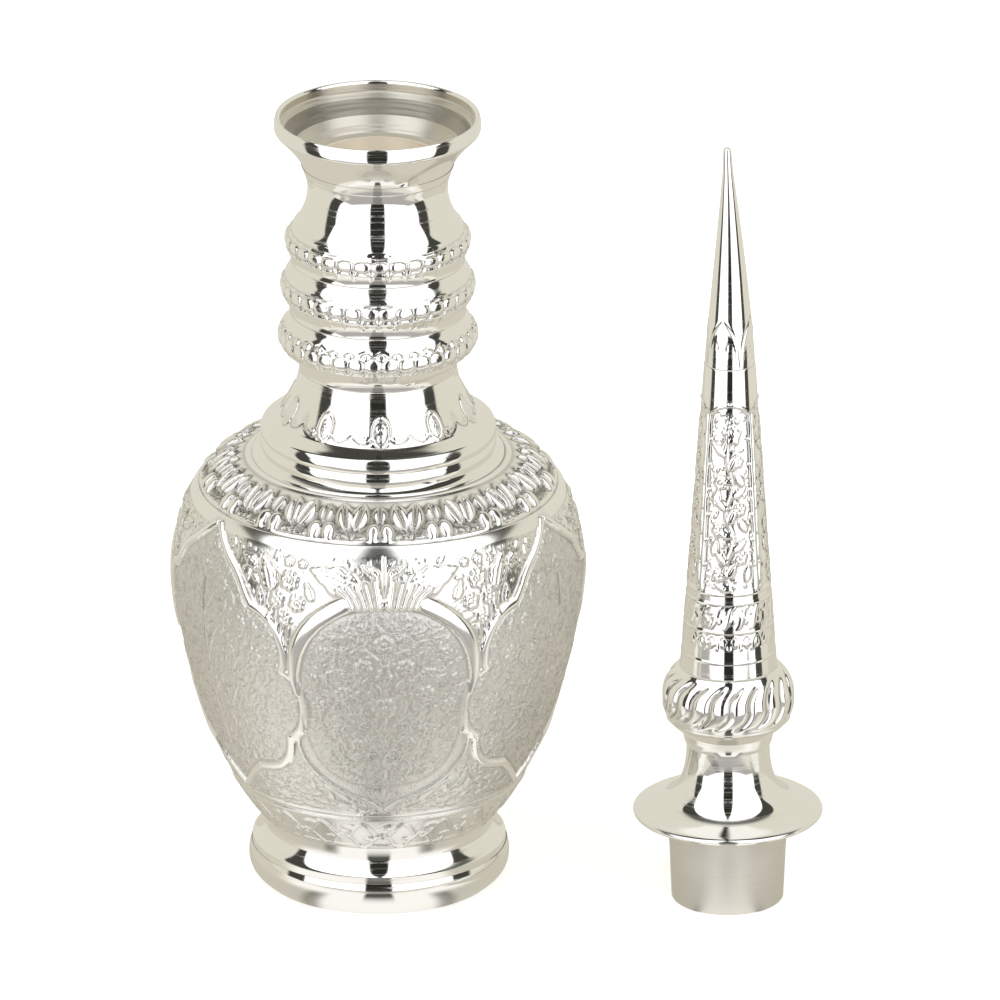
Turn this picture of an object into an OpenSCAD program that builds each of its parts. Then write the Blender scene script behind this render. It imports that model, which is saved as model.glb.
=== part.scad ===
// Decanter bottle of chased sheet silver, with its tall spire stopper standing
// beside it on the end of its plug. Every shell is spun or raised from sheet and
// soldered to the next one at a turned ridge, bead or valley.
// Origin: the bottle's axis on the table. +Z is up.

/* [Sheet] */
// Thickness of the bottle's sheet
sheet = 1.0; // [0.8:0.1:1.3]
// Thickness of the stopper's sheet
stopper_sheet = 0.8; // [0.6:0.1:1.0]
// Thickness of the throat sleeve's wall
sleeve_sheet = 0.8; // [0.6:0.1:1.0]
// Gap filled with solder round a piece that is let into another
solder_gap = 0.05; // [0.02:0.01:0.1]

/* [Foot] */
// Diameter on which the foot stands
tread_d = 58.6; // [54:0.2:60]
// Greatest diameter of the rolled foot
foot_d = 65.4; // [64:0.2:72]
// Height of the roll
foot_roll_h = 9.2; // [7:0.1:12]
// Diameter of the step between the roll and the skirt
foot_step_d = 64.2; // [62:0.2:65]
// Height of the skirt above the roll
foot_skirt_h = 5.0; // [3.5:0.1:8]
// Height of the plain band at the skirt's lower edge
skirt_band_h = 1.6; // [0.8:0.1:2.5]
// Diameter of the foot's waist, where the skirt meets the collar
foot_waist_d = 57.4; // [54:0.2:60]
// Height of the collar between foot and body
foot_collar_h = 3.6; // [2.5:0.1:6]
// Width of the collar's top, which carries the bowl and the base disc
collar_seat_w = 3.0; // [2.2:0.1:4]

/* [Body] */
// Diameter of the body where it leaves the foot
bowl_foot_d = 59.0; // [56:0.5:62]
// Greatest diameter of the belly
belly_d = 103; // [96:1:115]
// Height from the foot's collar up to the belly's greatest diameter
belly_rise = 64.8; // [54:0.2:76]
// Height from the belly's greatest diameter up to the shoulder's ridge
upper_body_h = 22.8; // [18:0.2:30]
// Diameter of the turned ridge between body and shoulder
ridge_d = 90; // [84:0.5:94]
// Height of the shoulder dome above the ridge
shoulder_h = 7.6; // [5:0.1:11]
// Plain land of the shoulder that shows round the neck's seat ring
land_margin = 0.5; // [0.2:0.1:2]
// Height by which the middle of the base disc is pushed up
base_push_h = 2.5; // [1:0.1:5]
// Width of the base disc's flat edge
base_edge_w = 6; // [4:0.5:9]

/* [Neck] */
// Height of the seat ring under the neck
seat_ring_h = 1.5; // [1:0.1:3]
// How far the seat ring stands out past the bell's rim
seat_ring_out = 1.4; // [0.6:0.1:2.5]
// Height of the bead under the bell
bell_bead_h = 3.6; // [2.4:0.1:5]
// Diameter of the bell's rim
bell_rim_d = 59.2; // [56:0.2:62]
// Width of the seat and bead rings, from the bell's rim inwards
neck_ring_w = 3.1; // [2.2:0.1:4]
// Height of the bell
bell_h = 18; // [14:0.5:24]
// Diameter of the neck between the bell and the lower ring
neck_d = 39.4; // [36:0.2:42]
// Height of the lower ring
lower_ring_h = 15; // [11:0.5:18]
// Greatest diameter of the lower ring
lower_ring_d = 49.7; // [46:0.2:54]
// Diameter of the valley above the lower ring
lower_valley_d = 44; // [41:0.2:45]
// Height of the middle ring
middle_ring_h = 13.5; // [10:0.5:17]
// Greatest diameter of the middle ring
middle_ring_d = 48.4; // [46:0.2:53]
// Diameter of the valley above the middle ring
middle_valley_d = 43.4; // [41:0.2:45]
// Height of the upper ring
upper_ring_h = 9.4; // [7:0.2:13]
// Greatest diameter of the upper ring
upper_ring_d = 46.2; // [45:0.2:52]
// Diameter of the ridge between the upper ring and the plain neck
neck_ridge_d = 42.4; // [40:0.2:44]
// Height of the plain neck
plain_neck_h = 13.6; // [11:0.2:20]
// Smallest diameter of the plain neck
neck_waist_d = 35; // [33:0.2:38]
// Diameter of the collar under the mouth
lip_collar_d = 36.8; // [36:0.2:39]
// Height of the collar under the mouth
lip_collar_h = 2.5; // [1.8:0.1:4]

/* [Mouth] */
// Greatest diameter of the mouth's rim
mouth_d = 51.6; // [49:0.2:58]
// Height of the flared dish
dish_h = 8.4; // [6.5:0.1:12]
// Height of the rim band
rim_h = 4.1; // [3.2:0.1:6]
// Thickness of the rim above the ledge
rim_wall = 1.4; // [1:0.1:2]
// Depth of the ledge below the rim's crest
ledge_depth = 2.5; // [1.5:0.1:3]
// Width of the ledge that the stopper's flange sits on
ledge_w = 1.0; // [0.8:0.1:1.6]
// Free ring between the plain neck and the throat sleeve
sleeve_gap = 0.6; // [0.3:0.1:1.2]

/* [Stopper] */
// Distance of the standing stopper to the right of the bottle's axis
stopper_x = 87.5; // [84:0.5:120]
// Distance of the standing stopper behind the bottle's axis
stopper_y = -16.4; // [-40:0.2:0]
// Radial clearance between plug and throat
plug_clearance = 0.5; // [0.2:0.1:0.9]
// How much smaller in radius the plug's end is than its top
plug_taper = 0.55; // [0.2:0.05:1]
// How far the plug flares out under the flange
plug_flare = 1.2; // [0.6:0.1:2]
// Height of the plug
plug_h = 20; // [17:0.5:26]
// Radial clearance between the flange and the mouth's rim
flange_clearance = 0.65; // [0.3:0.05:0.9]
// Height by which the flange rises from the plug to its edge
flange_rise = 2.7; // [1.5:0.1:4]
// Thickness of the flange's edge wire
flange_edge_h = 1.9; // [1.4:0.1:3]
// Width of the flange's edge wire
flange_edge_w = 1.75; // [1.4:0.05:2.4]
// Height of the bell above the flange
stopper_bell_h = 17; // [13:0.5:24]
// Diameter of the stopper's waist
stopper_waist_d = 20.8; // [17:0.2:22]
// Height of the collar above the waist
waist_collar_h = 3.4; // [2:0.1:5]
// Diameter of the collar above the waist
waist_collar_d = 22.8; // [21.5:0.2:25]
// Greatest diameter of the knop
knop_d = 32.8; // [28:0.2:38]
// Height of the knop's lower half
knop_low_h = 9.4; // [7:0.2:13]
// Height of the knop's upper half
knop_up_h = 8.1; // [6:0.1:12]

/* [Spire] */
// Diameter of the spire at its foot
spire_foot_d = 24.4; // [22:0.2:25]
// Height of the spire's shaft
spire_shaft_h = 80.7; // [60:0.5:100]
// Diameter of the spire at the seam under its tip
spire_seam_d = 12.8; // [11:0.1:15]
// Height of the spire's tip
spire_tip_h = 50.8; // [38:0.5:62]
// Diameter of the finial nib
nib_d = 2.7; // [2.2:0.1:3.6]
// Height of the finial nib
nib_h = 6.2; // [4:0.1:9]

/* [Hidden] */
$fn = 96;
curve_steps = 12;
fine_steps = 6;
bright = [0.88, 0.87, 0.83];
satin = [0.80, 0.79, 0.76];
warm = [0.80, 0.74, 0.64];

// Heights of the bottle's seams, from the table up
z_skirt = foot_roll_h;
z_collar = z_skirt + foot_skirt_h;
z_bowl = z_collar + foot_collar_h;
z_belly = z_bowl + belly_rise;
z_ridge = z_belly + upper_body_h;
z_land = z_ridge + shoulder_h;
z_bead = z_land + seat_ring_h;
z_bell = z_bead + bell_bead_h;
z_lower_ring = z_bell + bell_h;
z_middle_ring = z_lower_ring + lower_ring_h;
z_upper_ring = z_middle_ring + middle_ring_h;
z_neck = z_upper_ring + upper_ring_h;
z_lip = z_neck + plain_neck_h;
z_dish = z_lip + lip_collar_h;
z_rim = z_dish + dish_h;
z_mouth = z_rim + rim_h;
z_ledge = z_mouth - ledge_depth;

// The neck's foot: bell, bead and seat ring share one bore
bell_edge = 0.6;
bell_edge_h = 1.1;
bell_base_r = bell_rim_d / 2 - bell_edge;
neck_bore_r = bell_rim_d / 2 - neck_ring_w;
seat_ring_r = bell_rim_d / 2 + seat_ring_out;
land_r = seat_ring_r + land_margin;

// The throat hangs in the plain neck, and the plug goes into the throat
sleeve_r = neck_waist_d / 2 - sheet - sleeve_gap;
throat_r = sleeve_r - sleeve_sheet;
z_floor = z_dish + sheet;
ledge_out_r = mouth_d / 2 - rim_wall;
ledge_in_r = ledge_out_r - ledge_w;
plug_r = throat_r - plug_clearance;
plug_end_r = plug_r - plug_taper;
plug_top_r = plug_r + plug_flare;
flange_r = ledge_out_r - flange_clearance;

// Heights of the stopper's seams, from the table up
z_plate = plug_h;
z_edge = z_plate + flange_rise;
z_stopper_bell = z_edge + flange_edge_h;
z_waist = z_stopper_bell + stopper_bell_h;
z_knop = z_waist + waist_collar_h;
z_equator = z_knop + knop_low_h;
z_spire = z_equator + knop_up_h;
z_seam = z_spire + spire_shaft_h;
z_nib = z_seam + spire_tip_h;

// Seated, the flange's edge lies on the ledge and the plug's cone ends at the
// dish's floor, so the sleeve is as long as the cone and a little more
plug_cone_h = z_edge - (z_ledge - z_floor);
sleeve_h = plug_cone_h + 0.8;

// Points of a smooth cubic curve from a to b. The pulls place its two handles,
// as shares of the way across and up from a, and back from b.
function curve(a, b, pull_a, pull_b, steps = curve_steps) =
    let (
        way = b - a,
        p = a + [way.x * pull_a.x, way.y * pull_a.y],
        q = b - [way.x * pull_b.x, way.y * pull_b.y]
    )
    [for (i = [0 : steps])
        let (t = i / steps, u = 1 - t)
        u * u * u * a + 3 * u * u * t * p + 3 * u * t * t * q + t * t * t * b];

// One outline from two that share a point
function joined(low, high) = concat(low, [for (i = [1 : len(high) - 1]) high[i]]);

// Outward normal of an outline that climbs from the first point to the last
function outward(line, i) =
    let (
        way = line[min(i + 1, len(line) - 1)] - line[max(i - 1, 0)]
    )
    [way.y, -way.x] / norm(way);

// The inner face of a sheet whose outer face is the outline. Both ends are cut
// level, and what would pass a level end is left out.
function lining(line, wall) =
    let (
        last = len(line) - 1,
        foot = line[0] - [wall / outward(line, 0).x, 0],
        head = line[last] - [wall / outward(line, last).x, 0],
        margin = 0.05
    )
    concat(
        [foot],
        [for (i = [1 : last - 1])
            let (p = line[i] - wall * outward(line, i))
            if (p.y > foot.y + margin && p.y < head.y - margin) p],
        [head]
    );

function turned_back(line) = [for (i = [len(line) - 1 : -1 : 0]) line[i]];

// A shell spun from sheet, with both ends cut level
module spun(line, wall) {
    rotate_extrude() polygon(concat(line, turned_back(lining(line, wall))));
}

// A solid turned ring from its bore out to the outline
module turned_ring(line, bore_r) {
    last = line[len(line) - 1];
    rotate_extrude() polygon(concat([[bore_r, line[0].y]], line, [[bore_r, last.y]]));
}

// A half-round moulding: a straight band with a bulge on it
function bead_line(r, z, h, bulge) =
    [for (i = [0 : fine_steps])
        let (t = i / fine_steps)
        [r + bulge * sin(180 * t), z + h * t]];

// A hollow ring of the neck, between two valleys
function knuckle_line(low_r, peak_r, high_r, z, h, peak_at) =
    let (peak = [peak_r, z + h * peak_at])
    joined(
        curve([low_r, z], peak, [0.05, 0.60], [0, 0.50], fine_steps),
        curve(peak, [high_r, z + h], [0, 0.50], [0.15, 0.45], fine_steps)
    );

module beside() {
    translate([stopper_x, stopper_y, 0]) children();
}

// ---- Foot ----

foot_peak_share = 0.62;
foot_peak = [foot_d / 2, foot_roll_h * foot_peak_share];

module foot_roll() {
    line = joined(
        curve([tread_d / 2, 0], foot_peak, [0.50, 0.25], [0, 0.55], fine_steps),
        curve(foot_peak, [foot_step_d / 2, z_skirt], [0, 0.50], [0.50, 0.30], fine_steps)
    );
    color(bright) spun(line, sheet);
}

module foot_skirt() {
    band_r = foot_step_d / 2 - 0.2;
    line = concat(
        [[band_r, z_skirt]],
        curve([band_r - 0.1, z_skirt + skirt_band_h], [foot_waist_d / 2, z_collar],
            [0.30, 0.12], [0.30, 0.38], fine_steps)
    );
    color(satin) spun(line, sheet);
}

module foot_collar() {
    line = curve([foot_waist_d / 2, z_collar], [bowl_foot_d / 2, z_bowl],
        [0, 0.40], [0.55, 0.30], fine_steps);
    color(bright) turned_ring(line, bowl_foot_d / 2 - collar_seat_w);
}

// ---- Body ----

function bowl_line() = joined(
    curve([bowl_foot_d / 2, z_bowl], [belly_d / 2, z_belly], [0.61, 0.23], [0, 0.25]),
    curve([belly_d / 2, z_belly], [ridge_d / 2, z_ridge], [0, 0.32], [0.65, 0.15])
);

module base_disc() {
    edge_r = lining(bowl_line(), sheet)[0].x - solder_gap;
    flat_r = edge_r - base_edge_w;
    under = curve([flat_r, z_bowl], [0, z_bowl + base_push_h], [0.30, 0], [0.45, 0], fine_steps);
    lift = [0, sheet];
    color(satin) rotate_extrude() polygon(concat(
        [[edge_r, z_bowl]], under,
        [for (i = [len(under) - 1 : -1 : 0]) under[i] + lift],
        [[edge_r, z_bowl + sheet]]
    ));
}

module body_bowl() {
    color(satin) spun(bowl_line(), sheet);
}

module shoulder_dome() {
    top = curve([ridge_d / 2, z_ridge], [land_r, z_land], [0.32, 0.63], [0.38, 0]);
    last = len(top) - 1;
    under = lining([for (i = [0 : last - 1]) top[i]], sheet);
    color(bright) rotate_extrude() polygon(concat(
        top,
        [[neck_bore_r, z_land], [neck_bore_r, z_land - sheet], [land_r, z_land - sheet]],
        turned_back([for (i = [0 : last - 2]) under[i]])
    ));
}

// ---- Neck ----

module neck_seat_ring() {
    line = [
        [seat_ring_r, z_land],
        [seat_ring_r, z_land + seat_ring_h * 0.4],
        [seat_ring_r - seat_ring_out * 0.5, z_bead]
    ];
    color(bright) turned_ring(line, neck_bore_r);
}

module bell_bead() {
    color(bright) turned_ring(bead_line(bell_base_r, z_bead, bell_bead_h, bell_edge), neck_bore_r);
}

module neck_bell() {
    rim = [bell_rim_d / 2, z_bell + bell_edge_h];
    line = concat(
        [[bell_base_r, z_bell]],
        curve(rim, [neck_d / 2, z_lower_ring], [0, 0.21], [0, 0.50])
    );
    color(bright) spun(line, sheet);
}

module neck_ring_lower() {
    color(bright) spun(knuckle_line(neck_d / 2, lower_ring_d / 2, lower_valley_d / 2,
        z_lower_ring, lower_ring_h, 0.58), sheet);
}

module neck_ring_middle() {
    color(bright) spun(knuckle_line(lower_valley_d / 2, middle_ring_d / 2, middle_valley_d / 2,
        z_middle_ring, middle_ring_h, 0.52), sheet);
}

module neck_ring_upper() {
    color(bright) spun(knuckle_line(middle_valley_d / 2, upper_ring_d / 2, neck_ridge_d / 2,
        z_upper_ring, upper_ring_h, 0.60), sheet);
}

module plain_neck() {
    waist = [neck_waist_d / 2, z_neck + plain_neck_h * 0.81];
    lip = [lip_collar_d / 2 - 0.3, z_lip];
    line = joined(
        curve([neck_ridge_d / 2, z_neck], waist, [0.60, 0.16], [0, 0.30]),
        curve(waist, lip, [0, 0.50], [0.50, 0.25], fine_steps)
    );
    color(bright) spun(line, sheet);
}

module lip_collar() {
    color(bright) turned_ring(bead_line(lip_collar_d / 2 - 0.3, z_lip, lip_collar_h, 0.3),
        sleeve_r + solder_gap);
}

// ---- Mouth ----

module throat_sleeve() {
    color(warm) translate([0, 0, z_floor - sleeve_h]) difference() {
        cylinder(r = sleeve_r, h = sleeve_h);
        translate([0, 0, -1]) cylinder(r = throat_r, h = sleeve_h + 2);
    }
}

rim_overhang = 0.6;
dish_top_r = mouth_d / 2 - rim_overhang;

module mouth_dish() {
    foot = [lip_collar_d / 2 - 0.1, z_dish];
    clear = 0.05;
    outside = curve(foot, [dish_top_r, z_rim], [0.12, 0.48], [0.25, 0.20]);
    inside = [for (p = turned_back(lining(outside, sheet)))
        if (p.y > z_floor + clear && p.x < ledge_in_r - clear) p];
    color(warm) rotate_extrude() polygon(concat(
        outside, [[ledge_in_r, z_rim]], inside,
        [[foot.x - sheet, z_floor], [sleeve_r + solder_gap, z_floor], [sleeve_r + solder_gap, z_dish]]
    ));
}

module rim_band() {
    widest = [mouth_d / 2, z_rim + rim_h * 0.34];
    crest = [mouth_d / 2 - rim_wall * 0.45, z_mouth];
    outside = joined(
        curve([dish_top_r, z_rim], widest, [0.60, 0.20], [0, 0.50], fine_steps),
        curve(widest, crest, [0, 0.60], [0.50, 0], fine_steps)
    );
    inside = curve(crest, [ledge_out_r, z_mouth - rim_wall * 0.5], [0.60, 0], [0, 0.50], fine_steps);
    color(bright) rotate_extrude() polygon(concat(
        joined(outside, inside),
        [[ledge_out_r, z_ledge], [ledge_in_r, z_ledge], [ledge_in_r, z_rim]]
    ));
}

// ---- Stopper ----

module plug_end_disc() {
    color(satin) beside() cylinder(r = plug_end_r, h = stopper_sheet);
}

module plug_sleeve() {
    line = concat(
        [[plug_end_r, stopper_sheet]],
        curve([plug_r, plug_cone_h], [plug_top_r, z_plate], [0.15, 0.40], [0.50, 0.30], fine_steps)
    );
    color(satin) beside() spun(line, stopper_sheet);
}

edge_bore_r = flange_r - flange_edge_w;

module flange_plate() {
    seat_r = plug_top_r + 0.4;
    rise = curve([seat_r, z_plate], [edge_bore_r - solder_gap, z_edge],
        [0.40, 0], [0.30, 0.30], fine_steps);
    lift = [0, stopper_sheet];
    bore = plug_r - 2 * stopper_sheet;
    color(satin) beside() rotate_extrude() polygon(concat(
        [[bore, z_plate]], rise,
        [for (i = [len(rise) - 1 : -1 : 0]) rise[i] + lift],
        [[bore, z_plate + stopper_sheet]]
    ));
}

module flange_edge_wire() {
    round_w = flange_edge_h / 2;
    half = flange_edge_h / 2;
    line = [for (a = [-90 : 180 / fine_steps : 90])
        [flange_r - round_w + round_w * cos(a), z_edge + half + half * sin(a)]];
    color(bright) beside() turned_ring(line, edge_bore_r);
}

module stopper_bell() {
    edge = [edge_bore_r + stopper_sheet, z_stopper_bell + 0.3];
    line = concat(
        [[edge.x, z_stopper_bell]],
        curve(edge, [stopper_waist_d / 2, z_waist], [0.02, 0.28], [0, 0.90])
    );
    color(bright) beside() spun(line, stopper_sheet);
}

module waist_collar() {
    foot_r = stopper_waist_d / 2 + 0.2;
    line = curve([foot_r, z_waist], [waist_collar_d / 2, z_knop],
        [0.80, 0.30], [0.20, 0.30], fine_steps);
    color(bright) beside() turned_ring(line, stopper_waist_d / 2 - 2 * stopper_sheet);
}

module knop_lower() {
    line = curve([waist_collar_d / 2, z_knop], [knop_d / 2, z_equator], [0.65, 0.29], [0, 0.64]);
    color(bright) beside() spun(line, stopper_sheet);
}

module knop_upper() {
    line = curve([knop_d / 2, z_equator], [spire_foot_d / 2 + 0.5, z_spire], [0, 0.45], [0.50, 0.27]);
    color(bright) beside() spun(line, stopper_sheet);
}

// ---- Spire ----

module spire_shaft() {
    line = curve([spire_foot_d / 2, z_spire], [spire_seam_d / 2, z_seam], [0.30, 0.25], [0.33, 0.36]);
    color(bright) beside() spun(line, stopper_sheet);
}

module spire_tip() {
    line = curve([spire_seam_d / 2 - 0.1, z_seam], [nib_d / 2, z_nib], [0.16, 0.25], [0.42, 0.38]);
    bore_r = lining(line, stopper_sheet)[0].x;
    solid_share = 0.3;
    color(bright) beside() rotate_extrude() polygon(concat(
        line,
        [[0, z_nib], [0, z_nib - spire_tip_h * solid_share], [bore_r, z_seam]]
    ));
}

module finial_nib() {
    stem = nib_d / 2;
    color(bright) beside() rotate_extrude() polygon(concat(
        [[0, z_nib], [stem, z_nib]],
        [for (a = [0 : 90 / fine_steps : 90])
            [stem * cos(a), z_nib + nib_h - stem + stem * sin(a)]]
    ));
}

foot_roll();
foot_skirt();
foot_collar();
base_disc();
body_bowl();
shoulder_dome();
neck_seat_ring();
bell_bead();
neck_bell();
neck_ring_lower();
neck_ring_middle();
neck_ring_upper();
plain_neck();
lip_collar();
throat_sleeve();
mouth_dish();
rim_band();
plug_end_disc();
plug_sleeve();
flange_plate();
flange_edge_wire();
stopper_bell();
waist_collar();
knop_lower();
knop_upper();
spire_shaft();
spire_tip();
finial_nib();
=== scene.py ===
"""Chased silver decanter with its tall spire stopper standing beside it.

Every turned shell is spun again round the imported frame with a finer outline, and
the chased ones get their relief as geometry. Sizes are in millimetres until a
mesh is made; the frame is in metres.
"""

from __future__ import annotations

import logging
import math
from collections.abc import Callable, Sequence
from dataclasses import dataclass, replace
from enum import Enum

import bmesh
import bpy
import numpy as np
from mathutils import Matrix, Vector


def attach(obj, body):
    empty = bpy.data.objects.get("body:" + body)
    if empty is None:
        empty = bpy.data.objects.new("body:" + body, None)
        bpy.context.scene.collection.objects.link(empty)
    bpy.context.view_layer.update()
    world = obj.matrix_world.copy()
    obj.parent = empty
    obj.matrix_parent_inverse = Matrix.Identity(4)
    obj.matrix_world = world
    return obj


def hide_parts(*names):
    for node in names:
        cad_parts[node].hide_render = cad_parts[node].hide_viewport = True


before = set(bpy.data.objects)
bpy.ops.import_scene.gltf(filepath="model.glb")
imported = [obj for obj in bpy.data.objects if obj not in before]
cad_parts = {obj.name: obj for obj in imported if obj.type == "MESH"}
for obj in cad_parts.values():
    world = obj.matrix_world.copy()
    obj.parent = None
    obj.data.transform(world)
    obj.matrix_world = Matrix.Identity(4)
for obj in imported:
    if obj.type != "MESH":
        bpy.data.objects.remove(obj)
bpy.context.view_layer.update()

LOG = logging.getLogger("decanter")
MM = 0.001

Point = tuple[float, float]
Line = list[Point]


class Item(Enum):
    """The two loose pieces that the ornament is on."""

    BOTTLE = "bottle"
    STOPPER = "stopper"

    @property
    def axis(self) -> Point:
        """Where the piece's own axis stands, in mm."""
        return (0.0, 0.0) if self is Item.BOTTLE else (87.5, -16.4)


# ---------------------------------------------------------------- outlines


def curve(a: Point, b: Point, pull_a: Point, pull_b: Point, steps: int = 32) -> Line:
    """Points of a smooth cubic curve.

    Args:
        a: First end, as radius and height.
        b: Last end.
        pull_a: Handle at a, as shares of the way across and up.
        pull_b: Handle at b, as shares back from b.
        steps: Number of chords.

    Returns:
        The points from a to b, both ends included.
    """
    way = (b[0] - a[0], b[1] - a[1])
    p = (a[0] + way[0] * pull_a[0], a[1] + way[1] * pull_a[1])
    q = (b[0] - way[0] * pull_b[0], b[1] - way[1] * pull_b[1])
    line = []
    for i in range(steps + 1):
        t = i / steps
        u = 1.0 - t
        line.append(tuple(
            u ** 3 * a[k] + 3 * u * u * t * p[k] + 3 * u * t * t * q[k] + t ** 3 * b[k]
            for k in (0, 1)
        ))
    return line


def joined(*lines: Line) -> Line:
    """One outline from several that share their end points."""
    out = list(lines[0])
    for line in lines[1:]:
        out += line[1:]
    return out


def measured(line: Line) -> np.ndarray:
    """Arc length in mm at each point of an outline."""
    steps = np.hypot(*np.diff(np.array(line), axis=0).T)
    return np.concatenate([[0.0], np.cumsum(steps)])


def resampled(line: Line, step: float) -> Line:
    """The same outline with points at an even step along it.

    Args:
        line: The outline.
        step: Distance between points in mm, fitted to the whole length.

    Returns:
        The new points, with both ends kept.
    """
    along = measured(line)
    count = max(2, round(along[-1] / step))
    at = np.linspace(0.0, along[-1], count + 1)
    pts = np.array(line)
    return list(zip(np.interp(at, along, pts[:, 0]).tolist(),
                    np.interp(at, along, pts[:, 1]).tolist()))


def normals(line: Line) -> np.ndarray:
    """The outward way at each point of a climbing outline, as radius and height."""
    pts = np.array(line)
    way = np.gradient(pts, measured(line) + np.arange(len(pts)) * 1e-9, axis=0)
    way /= np.hypot(way[:, 0], way[:, 1])[:, None]
    return np.stack([way[:, 1], -way[:, 0]], axis=1)


def lining(line: Line, wall: float, count: int = 10) -> Line:
    """The inner face of a sheet, from the head of its outline back to the foot.

    Args:
        line: The outer face, climbing.
        wall: Thickness of the sheet in mm.
        count: Number of points between the ends.

    Returns:
        Points from the head down to the foot.
    """
    pts, normal = np.array(line), normals(line)
    low, high = pts[0, 1], pts[-1, 1]
    foot = (pts[0, 0] - wall / max(0.35, normal[0, 0]), low)
    keep = [(pts[-1, 0] - wall / max(0.35, normal[-1, 0]), high)]
    for i in np.linspace(len(pts) - 1, 0, count + 2)[1:-1]:
        r, z = pts[int(i)] - wall * normal[int(i)]
        if low + 0.05 < z < high - 0.05:
            keep.append((float(r), float(z)))
    return keep + [foot]


def bored(r: float, outer: Line) -> Line:
    """A straight bore behind an outer face."""
    return [(r, outer[-1][1]), (r, outer[0][1])]


def moulding(r: float, z: float, h: float, bulge: float, steps: int = 14) -> Line:
    """A half-round bulge on a straight band."""
    return [(r + bulge * math.sin(math.pi * i / steps), z + h * i / steps)
            for i in range(steps + 1)]


def arc(centre: Point, across: float, up: float, start: float, end: float,
        steps: int = 12) -> Line:
    """Points of an elliptical arc, with its angles in degrees from straight out."""
    return [(centre[0] + across * math.cos(math.radians(a)),
             centre[1] + up * math.sin(math.radians(a)))
            for a in np.linspace(start, end, steps + 1)]


# ---------------------------------------------------------------- shader maths


def operator(operation: str, swapped: bool = False) -> Callable[..., Sock]:
    """A method that puts a Math node on a socket.

    Args:
        operation: What the node does.
        swapped: Whether the socket comes after the other value.

    Returns:
        The method.
    """
    def method(self: Sock, *others: Sock | float) -> Sock:
        """Adds the node."""
        values = (*others, self) if swapped else (self, *others)
        return self.graph.maths(operation, *values)

    return method


class Sock:
    """A value socket that Python's operators work on."""

    def __init__(self, graph: Graph, socket: bpy.types.NodeSocket) -> None:
        """Wraps a socket of a graph."""
        self.graph = graph
        self.socket = socket

    __add__ = operator("ADD")
    __sub__ = operator("SUBTRACT")
    __rsub__ = operator("SUBTRACT", swapped=True)
    __mul__ = operator("MULTIPLY")
    __pow__ = operator("POWER")
    __abs__ = operator("ABSOLUTE")
    high = operator("MAXIMUM")

    def __neg__(self) -> Sock:
        """-self"""
        return self * -1.0

    def step(self, start: float, end: float) -> Sock:
        """0 before start, 1 after end, and smooth between them."""
        return self.graph.node("ShaderNodeMapRange", {"interpolation_type": "SMOOTHSTEP"},
                               {0: self, 1: start, 2: end, 3: 0.0, 4: 1.0})

    def band(self, start: float, end: float, soft: float) -> Sock:
        """1 between start and end, with edges of the given softness."""
        return self.step(start - soft, start + soft) - self.step(end - soft, end + soft)


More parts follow.
